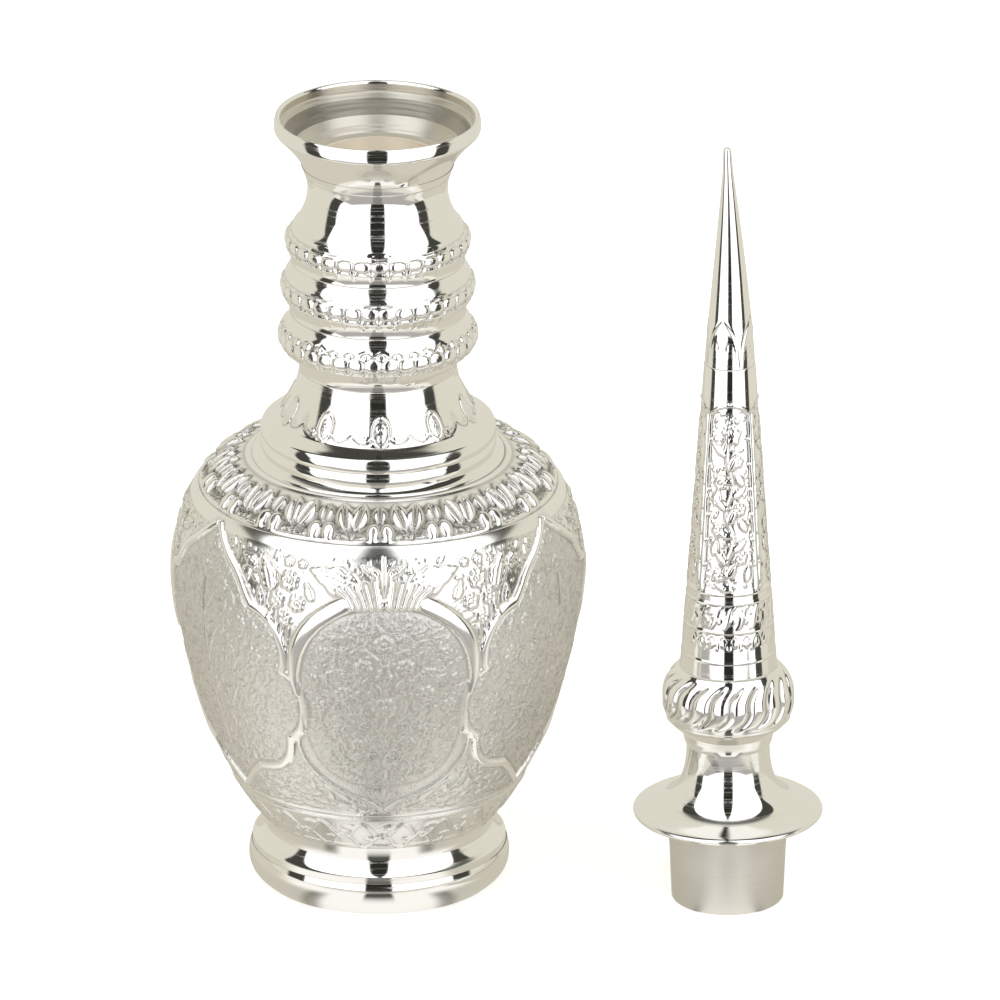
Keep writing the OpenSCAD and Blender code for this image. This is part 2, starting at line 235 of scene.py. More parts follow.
class Graph:
    """Node tree of one material or of the world."""

    def __init__(self, owner: bpy.types.Material | bpy.types.World) -> None:
        """Starts from an empty tree."""
        owner.use_nodes = True
        self.tree = owner.node_tree
        self.tree.nodes.clear()

    def node(self, kind: str, settings: dict | None = None,
             values: dict | None = None, output: int | str = 0) -> Sock:
        """Adds one node.

        Args:
            kind: The node's type.
            settings: Attributes of the node, set before its sockets.
            values: Input name or index, and the value or the socket that feeds it.
            output: Which output to hand back.

        Returns:
            The wanted output.
        """
        made = self.tree.nodes.new(kind)
        for name, value in (settings or {}).items():
            setattr(made, name, value)
        for name, value in (values or {}).items():
            if isinstance(value, Sock):
                self.tree.links.new(value.socket, made.inputs[name])
            else:
                made.inputs[name].default_value = value
        return Sock(self, made.outputs[output])

    def maths(self, operation: str, *values: Sock | float) -> Sock:
        """Adds a Math node."""
        return self.node("ShaderNodeMath", {"operation": operation}, dict(enumerate(values)))

    def mix(self, share: Sock | float, low: Sock | Sequence[float],
            high: Sock | Sequence[float]) -> Sock:
        """Mixes two colours by a share."""
        pair = [c if isinstance(c, Sock) else (*c, 1.0) for c in (low, high)]
        return self.node("ShaderNodeMix", {"data_type": "RGBA"},
                         {0: share, 6: pair[0], 7: pair[1]}, 2)

    def place(self, centre: Point = (0.0, 0.0)) -> Sock:
        """Object coordinates in mm from an axis."""
        raw = self.node("ShaderNodeTexCoord", output="Object")
        return self.node("ShaderNodeMapping", None,
                         {0: raw, 1: (-centre[0], -centre[1], 0.0), 3: (1 / MM,) * 3})

    def parts(self, vector: Sock) -> tuple[Sock, Sock, Sock]:
        """The three parts of a vector."""
        made = self.node("ShaderNodeSeparateXYZ", None, {0: vector}).socket.node
        return tuple(Sock(self, made.outputs[i]) for i in range(3))

    def noise(self, vector: Sock, scale: float, detail: float, rough: float) -> Sock:
        """Smooth noise from 0 to 1."""
        return self.node("ShaderNodeTexNoise", {"noise_dimensions": "3D"},
                         {"Vector": vector, "Scale": scale, "Detail": detail,
                          "Roughness": rough})

    def stretched(self, vector: Sock, scale: tuple[float, float, float]) -> Sock:
        """The vector with each part scaled."""
        return self.node("ShaderNodeMapping", None, {0: vector, 3: scale})

    def end(self, kind: str, shader: Sock) -> None:
        """Joins a shader to an output node."""
        out = self.tree.nodes.new(kind)
        self.tree.links.new(shader.socket, out.inputs["Surface"])

    def attribute(self, name: str) -> Sock:
        """A number that the mesh carries at its points."""
        return self.node("ShaderNodeAttribute", {"attribute_name": name}, output="Fac")

    def bump(self, height: Sock, depth: float, below: Sock | None = None) -> Sock:
        """Bumps the surface by a height from 0 to 1, so many mm deep."""
        values = {"Height": height, "Distance": depth * MM, "Strength": 1.0}
        if below is not None:
            values["Normal"] = below
        return self.node("ShaderNodeBump", None, values)


# ---------------------------------------------------------------- finishes


@dataclass(frozen=True)
class Finish:
    """Silver with its toning, its polish, the marks that its making left and the painted shade in
    its hollows.

    Attributes:
        name: The material's name.
        slot: The slot that it belongs to; not used.
        colour: Clean silver.
        toned: Silver that has yellowed.
        polish: Roughness of the clean surface.
        tarnish: Share of the yellowing.
        lathe: Depth of the lathe's lines in mm.
        rings: How much rougher the lathe's broad passes are.
        hammer: Depth of the planishing in mm.
        matting: Depth of the punched dots in mm.
        satin: How much rougher punched ground is.
        ground_darkening: How far punched ground is darkened, towards the hollow-shade colour.
        metal: Share of metal.
        hollow_shade_colour: Colour of the painted shade in sunk ground, or None where nothing is
            chased.
        cavity_rough: How much rougher sunk ground is.
        axis: Where the piece's axis stands, in mm.
    """

    name: str
    slot: str
    colour: tuple[float, float, float]
    toned: tuple[float, float, float]
    polish: float
    tarnish: float = 0.12
    lathe: float = 0.0
    rings: float = 0.0
    hammer: float = 0.0
    matting: float = 0.0
    satin: float = 0.0
    ground_darkening: float = 0.0
    metal: float = 1.0
    hollow_shade_colour: tuple[float, float, float] | None = None
    cavity_rough: float = 0.30
    axis: Point = (0.0, 0.0)

    def material(self) -> bpy.types.Material:
        """Builds the material, or hands back the one that is there."""
        name = f"{self.name}_{self.axis[0]:.0f}"
        found = bpy.data.materials.get(name)
        if found:
            return found
        made = bpy.data.materials.new(name)
        graph = Graph(made)
        place = graph.place(self.axis)
        patches = graph.noise(place, 0.045, 3.0, 0.55)
        specks = graph.noise(place, 1.1, 2.0, 0.6)
        toning = (patches.step(0.42, 0.72) * self.tarnish * 2.0
                  + specks.step(0.62, 0.80) * self.tarnish)
        colour = graph.mix(toning, self.colour, self.toned)
        rough = toning * 0.16 + self.polish
        normal = None
        if self.hammer:
            planish = graph.noise(place, 0.16, 1.0, 0.4)
            normal = graph.bump(planish, self.hammer)
        if self.lathe:
            turning = graph.noise(graph.stretched(place, (0.02, 0.02, 4.5)), 1.0, 3.0, 0.65)
            normal = graph.bump(turning, self.lathe, normal)
        if self.rings:
            passes = graph.noise(graph.stretched(place, (0.03, 0.03, 1.5)), 1.0, 1.0, 0.4)
            rough = rough + passes.step(0.55, 0.64) * self.rings
        # Painted shade: ground that the relief marks as sunk is darkened towards the hollow-shade
        # colour and made rougher.
        if self.hollow_shade_colour:
            depth = graph.attribute("sunk")
            colour = graph.mix(depth, colour, self.hollow_shade_colour)
            rough = rough + depth * self.cavity_rough
        if self.matting:
            punches = graph.node("ShaderNodeTexVoronoi", {"feature": "F1"},
                                 {"Vector": place, "Scale": 1.55, "Randomness": 0.9})
            ground = graph.attribute("matt")
            dents = punches.step(0.12, 0.55)
            normal = graph.bump(dents * ground, self.matting, normal)
            # Punched ground is darkened towards the colour of the painted shade in the hollows.
            if self.ground_darkening:
                colour = graph.mix(ground * self.ground_darkening, colour, self.hollow_shade_colour)
            rough = rough + ground * self.satin
        values = {"Base Color": colour, "Roughness": rough, "Metallic": self.metal}
        if normal is not None:
            values["Normal"] = normal
        shader = graph.node("ShaderNodeBsdfPrincipled", None, values)
        graph.end("ShaderNodeOutputMaterial", shader)
        return made


SILVER = (0.965, 0.955, 0.925)
SILVER_TONED = (0.87, 0.81, 0.70)
POLISHED = Finish("polished_silver", "polished_silver", SILVER, SILVER_TONED, 0.045,
                  tarnish=0.04, lathe=0.002, rings=0.13, hammer=0.03)
# The hollow-shade colours of CHASED, EMBOSSED and LEAFED are painted shade in the chased hollows;
# LEAFED's is darkest, between the shoulder's leaves.
CHASED = Finish("chased_silver", "chased_silver", (0.975, 0.965, 0.935), SILVER_TONED, 0.16,
                tarnish=0.05, hammer=0.02, matting=0.08, satin=0.22, ground_darkening=0.56,
                hollow_shade_colour=(0.60, 0.585, 0.54))
EMBOSSED = Finish("embossed_silver", "embossed_silver", SILVER, SILVER_TONED, 0.06,
                  tarnish=0.04, rings=0.08, hammer=0.03, matting=0.04, satin=0.30,
                  hollow_shade_colour=(0.40, 0.385, 0.34))
LEAFED = Finish("leafed_silver", "embossed_silver", SILVER, SILVER_TONED, 0.12,
                tarnish=0.06, hammer=0.03, matting=0.04, satin=0.30,
                hollow_shade_colour=(0.20, 0.19, 0.165), cavity_rough=0.16)
# Inside the mouth the silver is painted darker and tan, partly as toning and partly as painted
# shade.
INNER = Finish("inner_silver", "inner_silver", (0.68, 0.65, 0.575), (0.60, 0.54, 0.44), 0.33,
               tarnish=0.30, lathe=0.05, rings=0.22)
THROAT = Finish("throat_silver", "inner_silver", (0.93, 0.84, 0.70), (0.80, 0.68, 0.52), 0.55,
                tarnish=0.30, metal=0.35)
SHADED = Finish("shaded_silver", "inner_silver", (0.32, 0.30, 0.26), (0.50, 0.47, 0.41), 0.32,
                tarnish=0.5, lathe=0.08, rings=0.25)
# Painted shade: the rim's inner wall gets a dark tan like the shaded ring.
SHADED_WALL = Finish("shaded_wall_silver", "inner_silver", (0.50, 0.45, 0.37), (0.66, 0.61, 0.52), 0.26,
               tarnish=0.4, lathe=0.04, rings=0.15)
BRUSHED = Finish("brushed_silver", "brushed_silver", (0.80, 0.775, 0.72), SILVER_TONED, 0.54,
                 tarnish=0.10, lathe=0.012, rings=0.08)


# ---------------------------------------------------------------- chasing tools


def dome(reach: np.ndarray) -> np.ndarray:
    """A half-round section: 1 in the middle, and 0 from a reach of 1 outwards."""
    return np.sqrt(np.clip(1 - reach ** 2, 0, 1))


class Motif:
    """A shape that the chaser raises, drawn round its own origin in mm."""

    radius: float

    @property
    def reach(self) -> float:
        """Furthest point from the origin."""
        return self.radius

    def height(self, x: np.ndarray, y: np.ndarray) -> np.ndarray:
        """Height over the ground at each place, and 0 outside the shape."""
        raise NotImplementedError


@dataclass(frozen=True)
class Boss(Motif):
    """A round dome, or a ring where it has a hollow middle."""

    radius: float
    lift: float
    hollow: float = 0.0

    def height(self, x: np.ndarray, y: np.ndarray) -> np.ndarray:
        """A half-round section."""
        r = np.hypot(x, y)
        if self.hollow:
            half = (self.radius - self.hollow) / 2
            return self.lift * dome((r - self.hollow - half) / half)
        return self.lift * dome(r / self.radius)


@dataclass(frozen=True)
class Leaf(Motif):
    """A veined leaf that grows from the origin towards +x."""

    length: float
    width: float
    lift: float
    bend: float = 0.0
    veins: float = 0.9
    lobes: int = 0
    belly: float = 0.8
    folds: int = 0

    @property
    def reach(self) -> float:
        """Furthest point from the origin."""
        return self.length + abs(self.bend)

    def height(self, x: np.ndarray, y: np.ndarray) -> np.ndarray:
        """A rounded leaf with a sunk midrib and slanting veins."""
        t = np.clip(x / self.length, 0, 1)
        off = y - self.bend * t * t
        half = self.width / 2 * np.sin(math.pi * t ** self.belly)
        if self.lobes:
            half = half * (0.78 + 0.22 * np.abs(np.sin(math.pi * self.lobes * t)))
        side = off / np.maximum(half, 1e-6)
        body = dome(side) * (half > 0.02)
        rib = 1 - 0.55 * np.exp(-(off / (0.10 * self.width + 0.05)) ** 2)
        if self.folds:
            crease = np.abs(np.sin(math.pi * self.folds * (side + 1) / 2))
            return self.lift * body ** 0.6 * (0.45 + 0.55 * np.clip(crease / 0.45, 0, 1))
        slant = np.sin((x - 1.1 * np.abs(off)) * 2 * math.pi / max(self.veins, 0.1))
        return self.lift * body * rib * (1 - 0.22 * (slant > 0.25) * (self.veins > 0))


@dataclass(frozen=True)
class Blossom(Motif):
    """An open flower with cleft petals and a round heart."""

    radius: float
    petals: int
    lift: float

    def height(self, x: np.ndarray, y: np.ndarray) -> np.ndarray:
        """Petals round a boss, with cuts between them."""
        r = np.hypot(x, y) / self.radius
        turn = np.arctan2(y, x) * self.petals / 2
        petal = np.abs(np.cos(turn))
        edge = 0.66 + 0.34 * petal ** 0.6
        body = np.sqrt(np.clip(1 - (r / edge) ** 4, 0, 1)) * (0.35 + 0.65 * petal ** 0.5)
        fold = 1 - 0.3 * np.exp(-(np.sin(turn) / 0.18) ** 2) * (r > 0.4)
        heart = dome(r / 0.30)
        cup = np.clip((r - 0.30) / 0.14, 0, 1)
        return self.lift * np.maximum(body * fold * cup * 0.9, heart)


@dataclass(frozen=True)
class Oval(Motif):
    """A plain raised oval."""

    wide: float
    tall: float
    lift: float

    @property
    def reach(self) -> float:
        """Furthest point from the origin."""
        return max(self.wide, self.tall) / 2

    def height(self, x: np.ndarray, y: np.ndarray) -> np.ndarray:
        """A low dome, flat on top, with a full edge."""
        inside = 1 - (2 * x / self.wide) ** 2 - (2 * y / self.tall) ** 2
        return self.lift * np.clip(1.25 * inside, 0, 1) ** 0.5


@dataclass(frozen=True)
class Curl(Motif):
    """A spiral tendril that winds in from the origin round a point on +x."""

    radius: float
    turns: float
    width: float
    lift: float
    hand: int = 1

    @property
    def reach(self) -> float:
        """Furthest point from the origin."""
        return 2.2 * self.radius + self.width

    def height(self, x: np.ndarray, y: np.ndarray) -> np.ndarray:
        """A half-round wire that narrows to a small round bud."""
        out = np.zeros_like(x)
        steps = round(14 * self.turns)
        for i in range(steps + 1):
            t = i / steps
            a = math.pi + self.hand * 2 * math.pi * self.turns * t
            r = self.radius * (1 - 0.78 * t)
            half = self.width / 2 * (1.15 - 0.5 * t)
            d = np.hypot(x - self.radius - r * math.cos(a), y - r * math.sin(a))
            out = np.maximum(out, self.lift * dome(d / half))
        bud = np.hypot(x - self.radius, y) / (0.30 * self.radius)
        return np.maximum(out, self.lift * 1.1 * dome(bud))


class Relief:
    """Heights in mm over one repeat of a turned piece, laid out as a flat sheet."""

    def __init__(self, outline: Line, fold: int, centre: float, step: float) -> None:
        """Lays out the sheet.

        Args:
            outline: The plain outline of the piece.
            fold: How many times the ornament repeats in a turn.
            centre: Where the middle of one repeat stands, in degrees from the front.
            step: Distance between points, in mm.
        """
        self.outline = resampled(outline, step)
        run = measured(self.outline)
        pts = np.array(self.outline)
        self.span, self.centre = 360.0 / fold, centre
        self.along, self.r, self.z = run, pts[:, 0], pts[:, 1]
        columns = round(2 * math.pi * self.r.max() / fold / step)
        self.turn = (np.arange(columns) / columns - 0.5) * self.span
        shape = (len(run), columns)
        self.step = step
        self.height = np.zeros(shape)
        self.cover = np.zeros(shape)
        self.cuts = np.zeros(shape)
        self.matt = np.zeros(shape)
        self.sunk = np.zeros(shape)
        self.gain = 1.0
        self.rng = np.random.default_rng(7)

    @property
    def columns(self) -> int:
        """Number of points across one repeat."""
        return self.height.shape[1]

    def patch(self, turn: float, z: float, reach: float) -> tuple:
        """The points near a place, and where they are in mm from it."""
        here = float(np.interp(z, self.z, self.along))
        r = float(np.interp(z, self.z, self.r))
        low = int(np.searchsorted(self.along, here - reach))
        high = int(np.searchsorted(self.along, here + reach))
        rows = np.arange(low, max(high, low + 1))
        rows = rows[rows < len(self.along)]
        middle = (turn / self.span + 0.5) * self.columns
        half = int(min(self.columns / 2 - 1,
                       reach / r * 180 / math.pi / self.span * self.columns + 1))
        cols = np.arange(int(middle) - half, int(middle) + half + 2)
        x = np.radians((cols - middle) * self.span / self.columns)[None, :] * self.r[rows][:, None]
        y = np.broadcast_to((self.along[rows] - here)[:, None], x.shape)
        return np.ix_(rows, cols % self.columns), x, y

    def stamp(self, turn: float, z: float, motif: Motif, way: float = 0.0,
              base: float = 0.0) -> None:
        """Raises a motif.

        Args:
            turn: Degrees from the middle of the repeat.
            z: Height in mm.
            motif: What to raise.
            way: Where its +x points: 0 along the turn, 90 up.
            base: Height that it starts from.
        """
        at, lift = self._laid(turn, z, motif, way)
        self._raise(at, self.gain * lift, base)

    def _laid(self, turn: float, z: float, motif: Motif, way: float) -> tuple:
        """The points near a place, and how high a motif stands on them."""
        at, x, y = self.patch(turn, z, motif.reach + 0.3)
        c, s = math.cos(math.radians(way)), math.sin(math.radians(way))
        return at, motif.height(x * c + y * s, y * c - x * s)

    def _raise(self, at: tuple, rise: np.ndarray, base: float) -> None:
        """Lifts the sheet where what is laid on it is higher."""
        mask = rise > 0.02 * self.gain
        self.height[at] = np.where(mask, np.maximum(self.height[at], rise + base), self.height[at])
        self.cover[at] = np.maximum(self.cover[at], mask)

    def _segments(self, points: Sequence[Point], widths: Sequence[float]) -> tuple:
        """Each short piece of a line as a patch with the distance from it."""
        count = len(points) - 1
        for i, (a, b) in enumerate(zip(points, points[1:])):
            middle = ((a[0] + b[0]) / 2, (a[1] + b[1]) / 2)
            r = float(np.interp(middle[1], self.z, self.r))
            lift = np.interp([a[1], b[1]], self.z, self.along)
            half = (math.radians(b[0] - a[0]) * r / 2, (lift[1] - lift[0]) / 2)
            length = math.hypot(*half)
            width = np.interp((i + 0.5) / count, np.linspace(0, 1, len(widths)), widths)
            at, x, y = self.patch(*middle, length + width / 2 + 0.2)
            if length < 1e-6:
                continue
            t = np.clip((x * half[0] + y * half[1]) / length ** 2, -1, 1)
            yield at, np.hypot(x - t * half[0], y - t * half[1]) / (width / 2)

    def wire(self, points: Sequence[Point], widths: Sequence[float], lift: float,
             base: float = 0.0) -> None:
        """Raises a half-round line through places given as turn and height."""
        for at, d in self._segments(points, widths):
            self._raise(at, self.gain * lift * dome(d), base)

    def round_wire(self, z: float, width: float, lift: float) -> None:
        """Raises a half-round line at one height, all the way across the repeat."""
        half = self.span / 2
        self.wire([(-half, z), (0, z), (half, z)], (width,), lift)

    def strew(self, places: Sequence[tuple[float, float, float]], motif: Motif, side: int = 1,
              middle: float = 0.0) -> None:
        """Raises a motif at many places, each given as turn, height and direction."""
        for turn, z, way in places:
            self.stamp(middle + side * turn, z, motif, sided(way, side))

    def cut(self, points: Sequence[Point], width: float, depth: float) -> None:
        """Cuts a round groove through places given as turn and height."""
        for at, d in self._segments(points, (width,)):
            self.cuts[at] = np.maximum(self.cuts[at], depth * np.clip(1 - d ** 2, 0, 1))

    def stem(self, points: Sequence[Point], widths: Sequence[float], lift: float,
             leaf: Motif | None = None, every: float = 2.4) -> None:
        """Raises a smooth stalk with leaves on alternate sides."""
        line = smooth(points, 8)
        self.wire(line, widths, lift)
        if leaf is None:
            return
        run, side = every, 1
        for a, b in zip(line, line[1:]):
            r = float(np.interp(a[1], self.z, self.r))
            dx = math.radians(b[0] - a[0]) * r
            dy = float(np.diff(np.interp([a[1], b[1]], self.z, self.along))[0])
            run += math.hypot(dx, dy)
            if run >= every:
                way = math.degrees(math.atan2(dy, dx))
                self.stamp(a[0], a[1], leaf, way + side * 48)
                run, side = 0.0, -side

    def inside(self, points: Sequence[Point]) -> np.ndarray:
        """1 within a closed line through places given as turn and height."""
        turn, z = self.turn[None, :], self.z[:, None]
        mask = np.zeros(self.height.shape, bool)
        for (ax, az), (bx, bz) in zip(points, [*points[1:], points[0]]):
            if az == bz:
                continue
            crosses = (z > min(az, bz)) & (z <= max(az, bz))
            mask ^= crosses & (turn < ax + (z - az) * (bx - ax) / (bz - az))
        return mask

    def scatter(self, mask: np.ndarray, tries: int, motifs: Sequence[Motif],
                flow: Callable[[float, float], float] | None = None,
                crowd: float = 0.12) -> None:
        """Fills the free ground of a field with small motifs.

        Args:
            mask: Where they may stand.
            tries: How many places are tried.
            motifs: What to choose from.
            flow: Which way a motif points at a place; any way without it.
            crowd: Largest share of its patch that may be taken already.
        """
        rows, cols = np.nonzero(mask)
        for pick in self.rng.integers(0, len(rows), tries):
            row, col = rows[pick], cols[pick]
            if self.cover[row, col]:
                continue
            motif = motifs[self.rng.integers(len(motifs))]
            turn, z = self.turn[col], self.z[row]
            way = flow(turn, z) if flow else self.rng.uniform(0, 360)
            way += self.rng.normal(0, 22)
            at, lift = self._laid(turn, z, motif, way)
            here = lift > 0.02
            taken = (self.cover[at] + (~mask[at])) * here
            if here.sum() and taken.sum() < crowd * here.sum():
                self.stamp(turn, z, motif, way)

    def soften(self, values: np.ndarray, reach: float) -> np.ndarray:
        """The values blurred by a bell curve, round the turn and along the outline."""
        spread = reach / self.step
        steps = range(-int(2.5 * spread) - 1, int(2.5 * spread) + 2)
        weight = np.array([math.exp(-0.5 * (k / spread) ** 2) for k in steps])
        weight /= weight.sum()
        out = sum(w * np.roll(values, k, axis=1) for k, w in zip(steps, weight))
        rows = np.arange(len(self.along))
        return sum(w * out[np.clip(rows + k, 0, rows[-1])] for k, w in zip(steps, weight))

    def finish(self, ground: np.ndarray, depth: float = 0.18, line: float = 0.14,
               lower: float = 0.0, hollow_shade: float = 1.0) -> None:
        """Sinks the ground between the motifs, rings each with a chased line and maps the painted
        shade of the hollows.

        Args:
            ground: Where the ground is worked.
            depth: How far the ground between the motifs is sunk.
            line: Depth of the line round each motif.
            lower: How far the whole ground is let in.
            hollow_shade: How dark the painted shade in the hollows is, from 0 to 1.
        """
        near = self.soften(self.cover, 0.30)
        self.height -= depth * ground * (1 - self.soften(self.cover, 0.20))
        self.height -= line * ground * np.clip(4 * near * (1 - near), 0, 1) * (1 - self.cover)
        self.height -= self.cuts + lower * self.soften(ground.astype(float), 0.35)
        # Painted shade: each point is darkened by how far it lies below its blurred surroundings.
        deep = self.soften(self.height, 0.7) - self.height
        self.sunk = hollow_shade * np.clip(deep / 0.22, 0, 1)

    def sample(self, turn: np.ndarray, along: np.ndarray) -> tuple:
        """Height, painted shade of the hollows and matting at places on the piece."""
        col = ((turn - self.centre) / self.span + 0.5) % 1.0 * self.columns
        last = len(self.along) - 1
        row = along / self.along[-1] * last
        c0, r0 = np.floor(col).astype(int), np.clip(np.floor(row).astype(int), 0, last - 1)
        fc, fr = col - c0, row - r0
        c0, c1 = c0 % self.columns, (c0 + 1) % self.columns
        out = []
        for grid in (self.height, self.sunk, self.matt):
            low = grid[r0, c0] * (1 - fc) + grid[r0, c1] * fc
            high = grid[r0 + 1, c0] * (1 - fc) + grid[r0 + 1, c1] * fc
            out.append(low * (1 - fr) + high * fr)
        return tuple(out)


def smooth(points: Sequence[Point], steps: int) -> Line:
    """A smooth line through all the points.

    Args:
        points: The places that it passes.
        steps: Number of short pieces between two of them.

    Returns:
        The finer line.
    """
    pts = np.array([points[0], *points, points[-1]], float)
    out = []
    for a, b, c, d in zip(pts, pts[1:], pts[2:], pts[3:]):
        for i in range(steps):
            t = i / steps
            out.append(tuple(0.5 * (2 * b + (c - a) * t + (2 * a - 5 * b + 4 * c - d) * t * t
                                    + (3 * b - a - 3 * c + d) * t ** 3)))
    return [*out, tuple(pts[-1])]


def mirrored(points: Sequence[Point], side: int, middle: float = 0.0) -> Line:
    """The points to the right of a middle line for side 1, and to its left for -1."""
    return [(middle + side * t, z) for t, z in points]


def sided(way: float, side: int) -> float:
    """A direction in degrees, or its mirror image where side is -1."""
    return way if side > 0 else 180.0 - way


# ---------------------------------------------------------------- turned pieces

# Angle in degrees from which an edge of a plain ring is sharp.
SHARP = 38.0
# Length over which relief dies away towards the ends of an outline, in mm.
EDGE_FADE = 0.5
# Where a leaning point starts to bend, and how much of it stands above that, in mm.
BEND_FOOT, BEND_RISE = 150.0, 50.2


def meshed(name: str, shape: bmesh.types.BMesh) -> bpy.types.Mesh:
    """The mesh of a finished shape, which is freed."""
    mesh = bpy.data.meshes.new(name)
    shape.to_mesh(mesh)
    shape.free()
    return mesh


def placed(name: str, data: bpy.types.ID) -> bpy.types.Object:
    """A new object in the scene."""
    made = bpy.data.objects.new(name, data)
    bpy.context.scene.collection.objects.link(made)
    return made


@dataclass
class Turned:
    """One piece spun round the axis of the bottle or of the stopper."""

    name: str
    item: Item
    outer: Line
    inner: Line
    finish: Finish
    nodes: tuple[str, ...]
    steps: int = 160
    sweep: float = 360.0
    start: float = 0.0
    relief: Relief | None = None
    lean: float = 0.0

    def build(self) -> None:
        """Spins the outline, works the relief into it and dresses the piece."""
        mesh = self._spun()
        if self.relief:
            self._chase(mesh)
        if self.lean:
            self._bend(mesh)
        mesh.transform(Matrix.Translation((self.item.axis[0] * MM, self.item.axis[1] * MM, 0.0)))
        mesh.set_sharp_from_angle(angle=math.radians(180.0 if self.relief else SHARP))
        made = placed(self.name, mesh)
        made.visible_glossy = False
        mesh.materials.append(replace(self.finish, axis=self.item.axis).material())
        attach(made, self.item.value)
        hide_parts(*self.nodes)
        LOG.info("%s: %d faces", self.name, len(mesh.polygons))

    def _spun(self) -> bpy.types.Mesh:
        """The closed outline spun with bmesh, its axis at the origin."""
        shape = bmesh.new()
        along = shape.verts.layers.float.new("along")
        runs = [*measured(self.outer), *[-1.0] * len(self.inner)]
        loop = self.outer + self.inner
        verts = []
        turn = math.radians(self.start - 90.0)
        for (r, z), run in zip(loop, runs):
            vert = shape.verts.new((r * MM * math.cos(turn), r * MM * math.sin(turn), z * MM))
            vert[along] = run
            verts.append(vert)
        edges = [shape.edges.new(pair) for pair in zip(verts, [*verts[1:], verts[0]])]
        whole = self.sweep >= 360.0
        bmesh.ops.spin(shape, geom=verts + edges, cent=(0, 0, 0), axis=(0, 0, 1),
                       angle=math.radians(self.sweep), steps=self.steps, use_merge=whole,
                       use_duplicate=False)
        if min(r for r, _ in loop) < 0.01:
            bmesh.ops.remove_doubles(shape, verts=shape.verts, dist=1e-6)
        if not whole:
            ends = [e for e in shape.edges if e.is_boundary]
            bmesh.ops.holes_fill(shape, edges=ends, sides=0)
        bmesh.ops.recalc_face_normals(shape, faces=shape.faces)
        for face in shape.faces:
            face.smooth = True
        return meshed(self.name, shape)

    def _bend(self, mesh: bpy.types.Mesh) -> None:
        """Bends the point of the spire a little to one side."""
        for vert in mesh.vertices:
            rise = (vert.co.z / MM - BEND_FOOT) / BEND_RISE
            vert.co.x -= self.lean * MM * max(rise, 0.0) ** 2

    def _chase(self, mesh: bpy.types.Mesh) -> None:
        """Moves the outer points along the outline's normal by the relief."""
        count = len(mesh.vertices)
        co = np.zeros(count * 3, np.float32)
        mesh.vertices.foreach_get("co", co)
        co = co.reshape(-1, 3).astype(float) / MM
        along = np.zeros(count, np.float32)
        mesh.attributes["along"].data.foreach_get("value", along)
        out = along >= 0.0
        turn = np.degrees(np.arctan2(co[out, 0], -co[out, 1]))
        run = measured(self.outer)
        normal_r, normal_z = (np.interp(along[out], run, part) for part in normals(self.outer).T)
        height, sunk, matt = self.relief.sample(turn, along[out])
        edge = np.minimum(along[out], run[-1] - along[out])
        height = height * np.clip(edge / EDGE_FADE, 0.0, 1.0)
        a = np.radians(turn)
        co[out, 0] += height * normal_r * np.sin(a)
        co[out, 1] -= height * normal_r * np.cos(a)
        co[out, 2] += height * normal_z
        mesh.vertices.foreach_set("co", (co * MM).astype(np.float32).ravel())
        for name, values in (("sunk", sunk), ("matt", matt)):
            full = np.zeros(count, np.float32)
            full[out] = np.clip(values, 0.0, 1.0)
            mesh.attributes.new(name, "FLOAT", "POINT").data.foreach_set("value", full)
        mesh.update()


@dataclass
class Rings:
    """A stack of turned rings on one item, from one sheet."""

    item: Item = Item.BOTTLE
    sheet: float = 1.0
    step: float = 0.3

    def ring(self, name: str, node: str, outer: Line, inner: Line | None = None,
             finish: Finish = POLISHED, steps: int = 224) -> None:
        """Makes a plain ring.

        Args:
            name: Its name.
            node: The CAD node that it replaces.
            outer: Its outer face, climbing.
            inner: Its inner face, descending; one sheet behind the outer without it.
            finish: Its finish.
            steps: Number of facets in a turn.
        """
        inner = inner or lining(outer, self.sheet)
        Turned(name, self.item, outer, inner, finish, (node,), steps).build()

    def chased(self, name: str, nodes: tuple[str, ...], line: Line, fold: int, centre: float,
               chase: Callable[[Relief], None], inner: Line | None = None,
               finish: Finish = EMBOSSED, lean: float = 0.0) -> None:
        """Makes a ring with its ornament all the way round.

        Args:
            name: Its name.
            nodes: The CAD nodes that it replaces.
            line: Its outer face, climbing.
            fold: How many times the ornament repeats in a turn.
            centre: Where the middle of one repeat stands, in degrees from the front.
            chase: Raises the ornament on the sheet of one repeat.
            inner: Its inner face, descending; one sheet behind the outer without it.
            finish: Its finish.
            lean: How far its head leans to one side, in mm.
        """
        relief = Relief(line, fold, centre, self.step)
        chase(relief)
        inner = inner or lining(line, self.sheet)
        Turned(name, self.item, relief.outline, inner, finish, nodes, relief.columns * fold,
               relief=relief, lean=lean).build()


# ---------------------------------------------------------------- foot


@dataclass
class Foot(Rings):
    """Rolled foot, skirt and collar under the bowl."""

    tread_r: float = 29.3
    peak: Point = (32.7, 5.7)
    step_r: float = 32.1
    roll_h: float = 9.2
    skirt_top: float = 14.2
    waist_r: float = 28.7
    bowl_foot: Point = (29.5, 17.8)
    bore_r: float = 26.5

    def build(self) -> None:
        """Makes the three rings."""
        roll = joined(
            curve((self.tread_r, 0), self.peak, (0.50, 0.25), (0, 0.55), 16),
            curve(self.peak, (self.step_r, self.roll_h), (0, 0.50), (0.50, 0.30), 10),
        )
        self.ring("foot_roll_ring", "foot_roll", roll)
        band_r = self.step_r - 0.2
        skirt = [(band_r, self.roll_h)] + curve(
            (band_r - 0.1, self.roll_h + 1.6), (self.waist_r, self.skirt_top),
            (0.30, 0.12), (0.30, 0.38), 16)
        self.ring("foot_skirt_ring", "foot_skirt", skirt)
        collar = curve((self.waist_r, self.skirt_top), self.bowl_foot, (0, 0.40), (0.55, 0.30), 14)
        self.ring("foot_collar_ring", "foot_collar", collar, bored(self.bore_r, collar))


# ---------------------------------------------------------------- body


